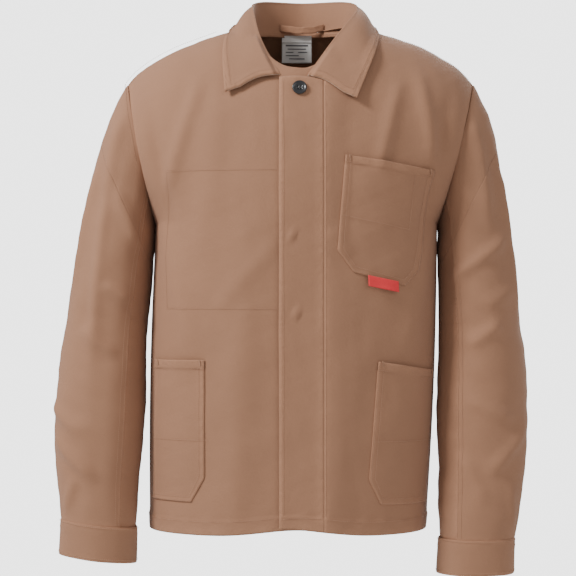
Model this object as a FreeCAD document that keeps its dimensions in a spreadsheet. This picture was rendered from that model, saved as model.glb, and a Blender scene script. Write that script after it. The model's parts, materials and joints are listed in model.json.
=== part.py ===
"""A work jacket in cotton twill, hanging as it is worn, as a parametric FreeCAD document.

Millimetres. +Z is up, the wearer faces -Y, and +X is the wearer's left. The origin is the middle of
the neck opening, which is what a neck form or a hanger carries. Every cloth piece is a thin sheet
laid on one of three shapes: the body, a sleeve or the collar.
"""
import FreeCAD, Part
import math
import os
import Sketcher
from FreeCAD import Placement, Rotation, Vector

os.makedirs("parts", exist_ok=True)
doc = FreeCAD.newDocument("work_jacket")

SIZES = {
    # cloth and the room left between layers
    "cloth": 1.3, "layer_gap": 0.4, "seam_gap": 0.7, "facing_cloth": 1.0, "facing_gap": 0.8,
    # body
    "hem_drop": 750, "underarm_drop": 300, "chest_half": 205, "hem_half": 207,
    "front_depth": 146, "hem_front_depth": 142, "back_depth": 130, "hem_back_depth": 128,
    "shoulder_half": 258, "shoulder_drop": 92, "shoulder_top": 4, "seam_forward": 8,
    "armhole_depth": 62, "front_square": 0.03, "back_square": 0.16, "side_square": 0.06,
    # neck opening
    "neck_half": 80, "neck_front": 107, "neck_back": 69,
    # front edge: the fly lies over the right front
    "fly_reach": 26, "fly_stitch": 37, "underlap": 31, "facing_width": 68,
    "fly_top_drop": 92, "band_top_drop": 250, "fly_lift": 4.6, "strip_lift": 3.2,
    # sleeves
    "elbow_drop": 450, "cuff_drop": 768, "sleeve_end_drop": 813,
    "elbow_centre": 273, "forearm_centre": 281, "cuff_centre": 277,
    "elbow_half": 61, "forearm_half": 67, "cuff_half": 54,
    "elbow_deep": 62, "forearm_deep": 60, "cuff_deep": 43,
    "elbow_forward": 20, "forearm_forward": 34, "cuff_forward": 54,
    "crown_out": 302, "crown_drop": 150, "armhole_gap": 0.8, "elbow_gap": 0.8,
    "sleeve_front_seam": 48, "sleeve_back_seam": 292, "cuff_cloth": 1.6, "vent_length": 95, "vent_width": 14,
    # collar
    "collar_top": 42, "collar_layer": 1.0, "interlining": 0.4,
    # pockets: width, height and place of each
    "pocket_cut": 22, "pocket_gape": 6.4, "pocket_gap": 1.5,
    "chest_pocket_in": 67, "chest_pocket_width": 126, "chest_pocket_top": 207, "chest_pocket_height": 170,
    "lower_pocket_in": 116, "lower_pocket_width": 78, "lower_pocket_top": 506, "lower_pocket_height": 207,
    "inner_pocket_in": 44, "inner_pocket_width": 130, "inner_pocket_top": 226, "inner_pocket_height": 198,
    # small parts
    "top_button_size": 21, "hidden_button_size": 18, "cuff_button_size": 15,
    "button_pitch": 106, "top_button_drop": 110,
    "loop_length": 66, "loop_width": 10, "loop_reach": 7, "loop_cloth": 1.2,
    "neck_label_width": 46, "neck_label_height": 42, "size_label_width": 46, "size_label_height": 10.5,
    "flag_width": 46, "flag_height": 18, "label_cloth": 0.5,
    "tack_length": 8, "tack_width": 1.4,
}

sheet = doc.addObject("Spreadsheet::Sheet", "sizes")
for row, (alias, value) in enumerate(SIZES.items(), start=1):
    sheet.set(f"A{row}", alias)
    sheet.set(f"B{row}", str(value))
    sheet.setAlias(f"B{row}", alias)
doc.recompute()
size = {alias: float(sheet.get(alias)) for alias in SIZES}
nodes = {}


def keep(name, item):
    """Registers a document object as the finished piece called name."""
    item.Label = name
    nodes[name] = item
    return item


# ---------------------------------------------------------------- the three shapes


def mix(low, high, share):
    return low + (high - low) * share


def armhole(share, face):
    """The armhole edge, from the underarm (0) to the shoulder tip (1). face is -1 in front, 1 behind."""
    rise = (1 - math.cos(math.pi * share)) / 2
    swell = max(0.0, math.sin(math.pi * share)) ** 1.6
    return Vector(
        mix(size["chest_half"], size["shoulder_half"], rise),
        -size["seam_forward"] * share + face * size["armhole_depth"] * swell,
        mix(-size["underarm_drop"], -size["shoulder_drop"], rise))


def body_row(level, face):
    """Centre and side points of one row of the body: -1 the hem, 0 the underarm, 1 the shoulder seam."""
    key = "front" if face < 0 else "back"
    deep = size[key + "_depth"]
    if level <= 0:
        drop = mix(size["underarm_drop"], size["hem_drop"], -level)
        half = mix(size["chest_half"], size["hem_half"], -level)
        deep = mix(deep, size[f"hem_{key}_depth"], level * level)
        return Vector(0, face * deep, -drop), Vector(half, 0, -drop)
    turn = math.radians(90 * level)
    square = 1 + size[key + "_square"] * math.sin(2 * turn) ** 2
    ridge = -size["seam_forward"]
    centre = Vector(
        0,
        ridge + (face * deep - ridge) * math.cos(turn) * square,
        -size["underarm_drop"] + (size["underarm_drop"] + size["shoulder_top"]) * math.sin(turn) * square)
    return centre, armhole(level, face)


def body_point(turn_deg, level, face):
    """A point of the body: turn 0 at the centre, 90 at the wearer's left side seam or armhole."""
    centre, side = body_row(level, face)
    turn = math.radians(abs(turn_deg))
    square = 1 + size["side_square"] * math.sin(2 * turn) ** 2
    return Vector(
        math.copysign(side.x * math.sin(turn) * square, turn_deg),
        side.y + (centre.y - side.y) * math.cos(turn) * square,
        centre.z + (side.z - centre.z) * math.sin(turn) ** 2)


def turn_at(reach, level, face):
    """The turn, in degrees, at which a row of the body is reach to the side of the centre."""
    return math.degrees(math.asin(max(-1.0, min(1.0, reach / body_row(level, face)[1].x))))


def through(first, middle, last, share):
    """A parabola through three values at shares 0, 1/2 and 1."""
    bend = 2 * (first + last - 2 * middle)
    return first + (last - first - bend) * share + bend * share * share


def sleeve_point(turn_deg, share):
    """A point of the left sleeve. turn 0 is the inner side, 90 the front, 180 the outer side.

    share 0 is the armhole, 1 the elbow, 2 the cuff seam and a little over 2 the end of the cuff.
    """
    turn = math.radians(turn_deg)
    if share <= 1:
        tip, low = armhole(1, -1), armhole(0, -1)
        bow = 2 * share * (1 - share)
        outer = tip * (1 - share) ** 2 + Vector(size["crown_out"], 0, -size["crown_drop"]) * bow
        outer += Vector(size["elbow_centre"] + size["elbow_half"], 0, -size["elbow_drop"]) * share ** 2
        inner = low * (1 - share)
        inner += Vector(size["elbow_centre"] - size["elbow_half"], 0, -size["elbow_drop"]) * share
        deep = mix(size["armhole_depth"], size["elbow_deep"], share)
        forward = mix(0, -size["elbow_forward"], share)
    else:
        part = share - 1
        drop = mix(size["elbow_drop"], size["cuff_drop"], part)
        centre = through(size["elbow_centre"], size["forearm_centre"], size["cuff_centre"], part)
        half = through(size["elbow_half"], size["forearm_half"], size["cuff_half"], part)
        deep = through(size["elbow_deep"], size["forearm_deep"], size["cuff_deep"], part)
        forward = -through(size["elbow_forward"], size["forearm_forward"], size["cuff_forward"], part)
        outer = Vector(centre + half, 0, -drop)
        inner = Vector(centre - half, 0, -drop)
    middle = (outer + inner) * 0.5
    point = middle - (outer - inner) * (0.5 * math.cos(turn)) + Vector(0, forward - deep * math.sin(turn), 0)
    hold = max(0.0, 1 - 4 * share)
    if hold > 0:
        around = turn_deg % 360
        face = -1 if around <= 180 else 1
        rim = armhole(min(around, 360 - around) / 180, face)
        point = point * (1 - hold) + rim * hold
    out = armhole(1, -1) - armhole(0, -1)
    away = Vector(out.z, 0, -out.x).normalize()
    return point + away * (size["armhole_gap"] * max(0.0, 1 - share))


COLLAR_SEAM = [(0, 66, -7), (53, 43, -9), (76, -8, -19), (57, -65, -51), (9, -101, -86)]
COLLAR_FOLD = [(0, 70, 42), (56, 47, 38), (79, -4, 25), (62, -61, -8), (14, -104, -70)]
COLLAR_EDGE = [(0, 119, -13), (85, 82, -10), (117, -6, -3), (120, -82, -49), (89, -130, -123)]


# The neck opening, in mm, that the three collar lines above were drawn for
DRAWN_NECK = {"half": 80, "front": 107, "back": 69}


def fitted(x, y, z):
    """A collar point, drawn for one neck opening, moved to suit the neck opening of the sizes."""
    end = "front" if y < 0 else "back"
    return Vector(x * size["neck_half"] / DRAWN_NECK["half"], y * size["neck_" + end] / DRAWN_NECK[end], z)


def collar_line(points):
    """A smooth line from the centre back to the wearer's left end of the collar."""
    curve = Part.BSplineCurve()
    curve.interpolate([fitted(-x, y, z) for x, y, z in reversed(points[1:])]
                      + [fitted(*point) for point in points])
    low, high = curve.FirstParameter, curve.LastParameter
    return lambda share: curve.value(mix(low, high, share))


seam_line = collar_line(COLLAR_SEAM)
fold_line = collar_line(COLLAR_FOLD)
edge_line = collar_line(COLLAR_EDGE)


def collar_point(share, down):
    """share 0 to 1 runs round the neck; down -1 is the seam, 0 the fold and 1 the outer edge."""
    seam, fold, edge = seam_line(share), fold_line(share), edge_line(share)
    out = edge - fold
    out.z = 0
    out.normalize()
    lift = size["collar_top"] * 0.12
    if down < 0:
        return seam * -down + fold * (1 + down) + out * (2.5 * (1 + down) ** 6)
    crest = math.sin(math.pi * min(1.0, down * 1.6)) * lift
    return fold * (1 - down) + edge * down + out * (2.5 + 3 * math.sqrt(down)) + Vector(0, 0, crest)


# ---------------------------------------------------------------- making cloth


def cloth_solid(rows, low, high):
    """A closed sheet of cloth: the grid of points moved along its normals by low and by high.

    low and high are distances, or functions of the shares along and across the grid.
    """
    count, width = len(rows), len(rows[0])

    def moved(distance):
        grid = []
        for i in range(count):
            line = []
            for j in range(width):
                along = rows[min(i + 1, count - 1)][j] - rows[max(i - 1, 0)][j]
                across = rows[i][min(j + 1, width - 1)] - rows[i][max(j - 1, 0)]
                normal = across.cross(along).normalize()
                reach = distance(i / (count - 1), j / (width - 1)) if callable(distance) else distance
                line.append(rows[i][j] + normal * reach)
            grid.append(line)
        surface = Part.BSplineSurface()
        surface.interpolate(grid)
        return surface

    inner, outer = moved(low), moved(high)

    def rims(surface):
        u_low, u_high, v_low, v_high = surface.bounds()
        return [surface.uIso(u_low), surface.uIso(u_high), surface.vIso(v_low), surface.vIso(v_high)]

    walls = [Part.makeRuledSurface(a.toShape(), b.toShape(), 1) for a, b in zip(rims(inner), rims(outer))]
    faces = [face for wall in walls for face in wall.Faces]
    shell = Part.makeShell([inner.toShape().Faces[0], outer.toShape().Faces[0]] + faces)
    shell.sewShape()
    solid = Part.makeSolid(shell.Shells[0] if shell.Shells else shell)
    if solid.Volume < 0:
        solid.reverse()
    return solid


def cloth(name, rows, low, high):
    """A document object holding a sheet of cloth."""
    item = doc.addObject("Part::Feature", name + "_cloth")
    item.Shape = cloth_solid(rows, low, high)
    item.Placement = Placement()
    return item


def mirrored(name, source):
    """The same piece on the wearer's right."""
    item = doc.addObject("Part::Mirroring", name)
    item.Source = source
    item.Normal = Vector(1, 0, 0)
    return keep(name, item)


def body_rows(face, start, end, low, high, wide=13, tall=13):
    """A grid of body points. start and end give the turn in degrees on each row."""
    rows = []
    for i in range(tall):
        level = mix(low, high, i / (tall - 1))
        first, last = start(level), end(level)
        row = [body_point(mix(first, last, j / (wide - 1)), level, face) for j in range(wide)]
        rows.append(row if face < 0 else row[::-1])
    return rows


def seam_turn(level, face):
    """The turn that leaves the seam gap before a side seam or an armhole."""
    depth = abs(body_row(level, face)[0].y) + 20
    return 90 - math.degrees(size["seam_gap"] / depth)


def level_at(drop):
    """The row of the front at a height below the origin, below the underarm or above it."""
    if drop >= size["underarm_drop"]:
        return -(drop - size["underarm_drop"]) / (size["hem_drop"] - size["underarm_drop"])
    rise = (size["underarm_drop"] - drop) / (size["underarm_drop"] + size["shoulder_top"])
    return math.degrees(math.asin(rise)) / 90


def neck_cutter():
    """An upright oval post as wide as the neck opening, which cuts the panels' necklines."""
    oval = doc.addObject("Part::Ellipse", "neck_oval")
    oval.setExpression("MajorRadius", "(sizes.neck_front + sizes.neck_back) * 0.5 mm")
    oval.setExpression("MinorRadius", "sizes.neck_half * 1 mm")
    centre_y = (size["neck_back"] - size["neck_front"]) / 2
    oval.Placement = Placement(Vector(0, centre_y, -200), Rotation(Vector(0, 0, 1), 90))
    post = doc.addObject("Part::Extrusion", "neck_post")
    post.Base = oval
    post.DirMode = "Custom"
    post.Dir = Vector(0, 0, 1)
    post.LengthFwd = 400
    post.Solid = True
    return post


def cut(name, base, tool):
    item = doc.addObject("Part::Cut", name)
    item.Base = base
    item.Tool = tool
    return item


# ---------------------------------------------------------------- body panels

neck_post = neck_cutter()
outer_layer = -size["cloth"]

back_rows = body_rows(1, lambda v: -seam_turn(v, 1), lambda v: seam_turn(v, 1), -1, 0.985, wide=33, tall=37)
keep("back_panel", cut("back_panel", cloth("back", back_rows, outer_layer, 0), neck_post))

left_rows = body_rows(-1, lambda v: turn_at(size["fly_stitch"] + size["seam_gap"], v, -1),
                      lambda v: seam_turn(v, -1), -1, 0.98, wide=15, tall=37)
keep("left_front_panel", cut("left_front_panel", cloth("left_front", left_rows, outer_layer, 0), neck_post))

right_rows = body_rows(-1, lambda v: -seam_turn(v, -1), lambda v: turn_at(size["underlap"], v, -1),
                       -1, 0.98, wide=19, tall=37)
right_front = cloth("right_front", right_rows, outer_layer, 0)
keep("right_front_panel", cut("right_front_panel", right_front, neck_post))

facing_high = outer_layer - size["facing_gap"]
facing_low = facing_high - size["facing_cloth"]
facing_top = level_at(size["fly_top_drop"] + 8)
for name, first, last in (
        ("left_front_facing", size["fly_stitch"] + 1, size["fly_stitch"] + size["facing_width"]),
        ("right_front_facing", size["underlap"] - size["facing_width"] - 1, size["underlap"])):
    rows = body_rows(-1, lambda v, a=first: turn_at(a, v, -1), lambda v, b=last: turn_at(b, v, -1),
                     -0.995, facing_top, wide=7, tall=33)
    keep(name, cloth(name, rows, facing_low, facing_high))

# ---------------------------------------------------------------- fly


def band_lift(reach):
    """How far a layer of the fly stands off: its full lift, sinking to the seam at the stitch line."""
    return lambda along, across: reach * (1 - 0.45 * across ** 3)


fly_layers = {"fly_flap": size["fly_lift"], "buttonhole_strip": size["strip_lift"]}
band_level = level_at(size["band_top_drop"])
for name, lift in fly_layers.items():
    inset = 0 if name == "fly_flap" else 6
    spans = {name: (-0.999, band_level), name + "_top": (band_level + 0.004, level_at(size["fly_top_drop"]))}
    for span, (low, high) in spans.items():
        rows = body_rows(-1, lambda v, a=inset - size["fly_reach"]: turn_at(a, v, -1),
                         lambda v: turn_at(size["fly_stitch"] - 0.6, v, -1), low, high, wide=7, tall=9)
        base = band_lift(lift)
        top = band_lift(lift + size["facing_cloth"])
        keep(span, cloth(span, rows, base, top))

# ---------------------------------------------------------------- pockets


def pocket(name, inner, width, top, height, side, lift, mouth=0.0):
    """A patch pocket on the front, or inside it, with its two lower corners cut off.

    lift is how far it stands off the front, and mouth how much further its upper edge stands open.
    """
    low, high = level_at(top + height), level_at(top)
    cut_by = size["pocket_cut"]

    def corner(level):
        """How far the cut takes a side in: all of it at the lower edge, none above the cut."""
        up = height * (level - low) / (high - low)
        return cut_by * max(0.0, 1 - up / (1.5 * cut_by)) ** 1.5

    def near(level):
        return turn_at(side * (inner + corner(level)), level, -1)

    def far(level):
        return turn_at(side * (inner + width - corner(level)), level, -1)

    def gape(along, across):
        return lift + mouth * max(0.0, math.sin(math.pi * across)) ** 1.5 * along ** 1.4

    start, end = (near, far) if side > 0 else (far, near)
    rows = body_rows(-1, start, end, low, high, wide=11, tall=37)
    thick = size["facing_cloth"]
    return keep(name, cloth(name, rows, gape, lambda along, across: gape(along, across) + thick))


on_front = size["pocket_gap"]
inside = facing_low - size["layer_gap"] - size["facing_cloth"]
pocket("chest_pocket", size["chest_pocket_in"], size["chest_pocket_width"], size["chest_pocket_top"],
       size["chest_pocket_height"], 1, on_front, size["pocket_gape"])
for name, side in (("left_lower_pocket", 1), ("right_lower_pocket", -1)):
    pocket(name, size["lower_pocket_in"], size["lower_pocket_width"], size["lower_pocket_top"],
           size["lower_pocket_height"], side, on_front, size["pocket_gape"])
pocket("inner_pocket", size["inner_pocket_in"], size["inner_pocket_width"], size["inner_pocket_top"],
       size["inner_pocket_height"], -1, inside)

# ---------------------------------------------------------------- collar


def collar_rows(low, high, tall, inset=0.0):
    """A grid on the collar from row low to row high. inset is the share left bare at each end."""
    return [[collar_point(mix(inset, 1 - inset, j / 40), mix(low, high, i / (tall - 1)))
             for j in range(41)] for i in range(tall)]


fall = 2 * size["collar_layer"] + size["interlining"] + 2 * size["layer_gap"]
whole = collar_rows(-1, 1, 21)
keep("upper_collar", cloth("upper_collar", whole, -size["collar_layer"], 0))
middle_high = -size["collar_layer"] - size["layer_gap"]
keep("collar_interlining", cloth("collar_interlining", collar_rows(0.2, 0.94, 13, 0.02),
                                 middle_high - size["interlining"], middle_high))
under_high = middle_high - size["interlining"] - size["layer_gap"]
keep("under_collar", cloth("under_collar", collar_rows(0.18, 0.98, 13, 0.02),
                           under_high - size["collar_layer"], under_high))

# ---------------------------------------------------------------- sleeves


def sleeve_rows(first_turn, last_turn, low, high, tall, wide=17):
    return [[sleeve_point(mix(first_turn, last_turn, j / (wide - 1)), mix(low, high, i / (tall - 1)))
             for j in range(wide)] for i in range(tall)][::-1]


half_gap = math.degrees(size["seam_gap"] / size["elbow_half"]) / 2
arm_length = size["elbow_drop"] - size["crown_drop"]
elbow_share = size["elbow_gap"] / 2 / arm_length
front_seam, back_seam = size["sleeve_front_seam"], size["sleeve_back_seam"]
turns = {"top": (front_seam + half_gap, back_seam - half_gap),
         "under": (back_seam - 360 + half_gap, front_seam - half_gap)}
for part, (first, last) in turns.items():
    upper = cloth(f"left_{part}_sleeve", sleeve_rows(first, last, 0, 1 - elbow_share, 13), outer_layer, 0)
    keep(f"left_{part}_sleeve", upper)
    mirrored(f"right_{part}_sleeve", upper)
    lower = cloth(f"left_{part}_forearm", sleeve_rows(first, last, 1 + elbow_share, 2, 11), outer_layer, 0)
    keep(f"left_{part}_forearm", lower)
    mirrored(f"right_{part}_forearm", lower)

cuff_low, cuff_high = size["layer_gap"], size["layer_gap"] + size["cuff_cloth"]
cuff_drop_share = 1 / (size["cuff_drop"] - size["elbow_drop"])
cuff_start = 2 - 6 * cuff_drop_share
cuff_end = 2 + (size["sleeve_end_drop"] - size["cuff_drop"]) * cuff_drop_share
cuff_turns = (-66, 292)
cuff = cloth("left_cuff", sleeve_rows(*cuff_turns, cuff_start, cuff_end, 4, 33), cuff_low, cuff_high)
keep("left_cuff", cuff)
mirrored("right_cuff", cuff)

vent_half = math.degrees(size["vent_width"] / 2 / size["cuff_deep"])
vent_low = 2 - (size["vent_length"] + 8) * cuff_drop_share
vent_high = 2 - 8 * cuff_drop_share
vent_rows = sleeve_rows(255 - vent_half, 255 + vent_half, vent_low, vent_high, 5, 5)
vent = cloth("left_vent_binding", vent_rows, size["layer_gap"], size["layer_gap"] + size["facing_cloth"])
keep("left_vent_binding", vent)
mirrored("right_vent_binding", vent)

# ---------------------------------------------------------------- buttons


def profile(body, name, points):
    """A closed sketch on the body's XZ plane. Each point is a pair of expressions on the sizes."""
    sketch = body.newObject("Sketcher::SketchObject", name)
    plane = [item for item in body.Origin.OriginFeatures if item.Role == "XZ_Plane"][0]
    sketch.AttachmentSupport = [(plane, "")]
    sketch.MapMode = "FlatFace"
    spots = [(float(px), float(pz)) for px, pz, _, _ in points]
    for i, (px, pz) in enumerate(spots):
        qx, qz = spots[(i + 1) % len(spots)]
        sketch.addGeometry(Part.LineSegment(Vector(px, pz, 0), Vector(qx, qz, 0)), False)
    for i in range(len(spots)):
        sketch.addConstraint(Sketcher.Constraint("Coincident", i, 2, (i + 1) % len(spots), 1))
    for i, (px, pz, x_expression, z_expression) in enumerate(points):
        for axis, value, expression in (("X", px, x_expression), ("Y", pz, z_expression)):
            index = sketch.addConstraint(Sketcher.Constraint(f"Distance{axis}", -1, 1, i, 1, float(value)))
            sketch.setExpression(f"Constraints[{index}]", expression)
    return sketch


def button(name, alias):
    """A four-hole button, face towards +Z of its own body: a dished disc with a raised rim."""
    radius = size[alias] / 2
    body = doc.addObject("PartDesign::Body", name)
    ring = [(0, 0, "0 mm", "0 mm"), (radius * 0.8, 0, f"sizes.{alias} * 0.4 * 1 mm", "0 mm"),
            (radius, 1.2, f"sizes.{alias} * 0.5 * 1 mm", "1.2 mm"),
            (radius * 0.92, 2.6, f"sizes.{alias} * 0.46 * 1 mm", "2.6 mm"),
            (radius * 0.74, 2.6, f"sizes.{alias} * 0.37 * 1 mm", "2.6 mm"),
            (radius * 0.62, 1.7, f"sizes.{alias} * 0.31 * 1 mm", "1.7 mm"),
            (0, 1.7, "0 mm", "1.7 mm")]
    sketch = profile(body, name + "_profile", ring)
    disc = body.newObject("PartDesign::Revolution", name + "_disc")
    disc.Profile = sketch
    disc.ReferenceAxis = (sketch, ["V_Axis"])
    disc.Angle = 360
    sketch.Visibility = False
    holes = body.newObject("Sketcher::SketchObject", name + "_holes")
    plane = [item for item in body.Origin.OriginFeatures if item.Role == "XY_Plane"][0]
    holes.AttachmentSupport = [(plane, "")]
    holes.MapMode = "FlatFace"
    spread = radius * 0.2
    for index, (px, py) in enumerate(((1, 1), (1, -1), (-1, 1), (-1, -1))):
        circle = Part.Circle(Vector(px * spread, py * spread, 0), Vector(0, 0, 1), radius * 0.1)
        holes.addGeometry(circle, False)
        places = (("DistanceX", px * spread, px * 0.1), ("DistanceY", py * spread, py * 0.1))
        for kind, amount, share in places:
            place = holes.addConstraint(Sketcher.Constraint(kind, -1, 1, index, 3, amount))
            holes.setExpression(f"Constraints[{place}]", f"sizes.{alias} * {share} * 1 mm")
        place = holes.addConstraint(Sketcher.Constraint("Radius", index, radius * 0.1))
        holes.setExpression(f"Constraints[{place}]", f"sizes.{alias} * 0.05 * 1 mm")
    through_cut = body.newObject("PartDesign::Pocket", name + "_hole_cut")
    through_cut.Profile = holes
    through_cut.Midplane = True
    through_cut.Length = 12
    body.Tip = through_cut
    doc.recompute()
    return body


def face_forward(spot, normal):
    """A placement that turns a button's +Z to the cloth's normal at a spot."""
    return Placement(spot, Rotation(Vector(0, 0, 1), normal))


def front_spot(reach, drop, lift):
    """A point on the front and its outward normal, lift above the outer face."""
    level = level_at(drop)
    turn = turn_at(reach, level, -1)
    spot = body_point(turn, level, -1)
    across = body_point(turn + 0.5, level, -1) - body_point(turn - 0.5, level, -1)
    along = body_point(turn, level + 0.01, -1) - body_point(turn, level - 0.01, -1)
    normal = across.cross(along).normalize()
    return spot + normal * lift, normal


def group(name, shapes):
    item = doc.addObject("Part::Feature", name)
    item.Shape = Part.makeCompound(shapes)
    item.Placement = Placement()
    return keep(name, item)


def stitches(alias, spot, normal, low, high):
    """Two bars of thread through a button's holes, from low to high along the normal."""
    spread = size[alias] * 0.1
    radius = size[alias] * 0.03
    bars = []
    for px in (-1, 1):
        posts = [Part.makeCylinder(radius, high - low, Vector(px * spread, py * spread, low))
                 for py in (-1, 1)]
        bridge = Part.makeCylinder(radius, 2 * spread, Vector(px * spread, -spread, high),
                                   Vector(0, 1, 0))
        bars.append(posts[0].fuse([posts[1], bridge]))
    placement = face_forward(spot, normal)
    for bar in bars:
        bar.Placement = placement
    return bars


threads = []
top_lift = size["fly_lift"] + size["facing_cloth"] + size["layer_gap"]
spot, normal = front_spot(3, size["top_button_drop"], top_lift)
top_button = keep("top_button", button("top_button", "top_button_size"))
top_button.Placement = face_forward(spot, normal)
threads += stitches("top_button_size", spot, normal, -0.2, 2.5)

hidden_master = button("hidden_button_master", "hidden_button_size")
hidden = []
for index in range(1, 6):
    drop = size["top_button_drop"] + index * size["button_pitch"]
    spot, normal = front_spot(3, drop, 0.1)
    copy = hidden_master.Shape.copy()
    flat = FreeCAD.Matrix()
    flat.scale(1, 1, 0.85)
    copy = copy.transformGeometry(flat)
    copy.Placement = face_forward(spot, normal)
    hidden.append(copy)
    threads += stitches("hidden_button_size", spot, normal, 0.2, 2.1)
group("hidden_buttons", hidden)
group("button_threads", threads)

cuff_button = button("left_cuff_button", "cuff_button_size")
cuff_mid = 2 + 0.5 * (cuff_end - 2)
outer_spot = sleeve_point(262, cuff_mid)
around = sleeve_point(263, cuff_mid) - sleeve_point(261, cuff_mid)
upward = sleeve_point(262, cuff_mid - 0.01) - sleeve_point(262, cuff_mid + 0.01)
outward = around.cross(upward).normalize()
if outward.y < 0:
    outward = outward * -1
cuff_button.Placement = face_forward(outer_spot + outward * (cuff_high + size["layer_gap"]), outward)
keep("left_cuff_button", cuff_button)
mirrored("right_cuff_button", cuff_button)

# ---------------------------------------------------------------- loop, labels and bartacks


def label(name, width, height, thick):
    """A flat woven label, bound to the sheet, hanging down from its own upper edge."""
    item = doc.addObject("Part::Box", name)
    item.setExpression("Length", f"sizes.{width} * 1 mm")
    item.setExpression("Width", f"sizes.{thick} * 1 mm")
    item.setExpression("Height", f"sizes.{height} * 1 mm")
    return keep(name, item)


inside_neck = size["neck_back"] - 2 - fall - 1.2
neck_label = label("neck_label", "neck_label_width", "neck_label_height", "label_cloth")
neck_label.Placement = Placement(Vector(-size["neck_label_width"] / 2, inside_neck - 1.5,
                                        -8 - size["neck_label_height"]), Rotation())
size_label = label("size_label", "size_label_width", "size_label_height", "label_cloth")
size_label.Placement = Placement(Vector(-size["size_label_width"] / 2, inside_neck - 2.4,
                                        -8 - size["size_label_height"]), Rotation())

loop_half = size["loop_length"] / 2
loop_path = [Vector(x * loop_half, inside_neck - 5 - size["loop_reach"] * (1 - x * x), 9 - 6 * (1 - x * x))
             for x in (-1, -0.66, -0.33, 0, 0.33, 0.66, 1)]
loop_rows = [[point + Vector(0, 0, up * size["loop_width"]) for point in loop_path] for up in (-1, -0.5, 0)]
keep("hanger_loop", cloth("hanger_loop", loop_rows, 0, size["loop_cloth"]))

flag = label("flag_label", "flag_width", "flag_height", "label_cloth")
flag_reach = size["chest_pocket_in"] + 30
flag_drop = size["chest_pocket_top"] + size["chest_pocket_height"] + 1.5
flag_spot, flag_normal = front_spot(flag_reach + size["flag_width"] / 2, flag_drop, 3.6)
flag_turn = Rotation(Vector(0, -1, 0), Vector(flag_normal.x, flag_normal.y, 0))
flag_corner = flag_turn.multVec(Vector(-size["flag_width"] / 2, 0, -size["flag_height"]))
flag.Placement = Placement(flag_spot + flag_corner, flag_turn)

tacks = []
tack_lift = on_front + size["facing_cloth"] + 0.3
chest_ends = [size["chest_pocket_in"] + 5, size["chest_pocket_in"] + size["chest_pocket_width"] - 5]
lower_ends = [size["lower_pocket_in"] + 4, size["lower_pocket_in"] + size["lower_pocket_width"] - 6]
tack_spots = [(x, size["chest_pocket_top"] + 5) for x in chest_ends]
tack_spots += [(side * x, size["lower_pocket_top"] + 5) for side in (1, -1) for x in lower_ends]
for reach, drop in tack_spots:
    spot, normal = front_spot(reach, drop, tack_lift + 2.4)
    tack = Part.makeBox(size["tack_width"], size["tack_length"], 0.8)
    tack.translate(Vector(-size["tack_width"] / 2, -size["tack_length"] / 2, 0))
    tack.Placement = face_forward(spot, normal).multiply(tack.Placement)
    tacks.append(tack)
group("bartacks", tacks)

# ---------------------------------------------------------------- checks and files

doc.recompute()
for item in doc.Objects:
    bad = [state for state in item.State if state in ("Invalid", "Error")]
    if bad:
        raise RuntimeError(f"{item.Name} did not compute: {bad}")
for name, item in nodes.items():
    shape = item.Shape
    if shape.isNull() or not shape.isValid() or not shape.Solids:
        raise RuntimeError(f"{name} has no valid solid")
    shape.exportStep(f"parts/{name}.step")
    box = shape.BoundBox
    print(f"{name:22s} solids {len(shape.Solids):2d}  volume {shape.Volume / 1000:8.2f} cm3  "
          f"x {box.XMin:7.1f} {box.XMax:7.1f}  y {box.YMin:7.1f} {box.YMax:7.1f}  "
          f"z {box.ZMin:7.1f} {box.ZMax:7.1f}")
print(len(nodes), "nodes")
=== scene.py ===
# %% [markdown]
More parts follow.
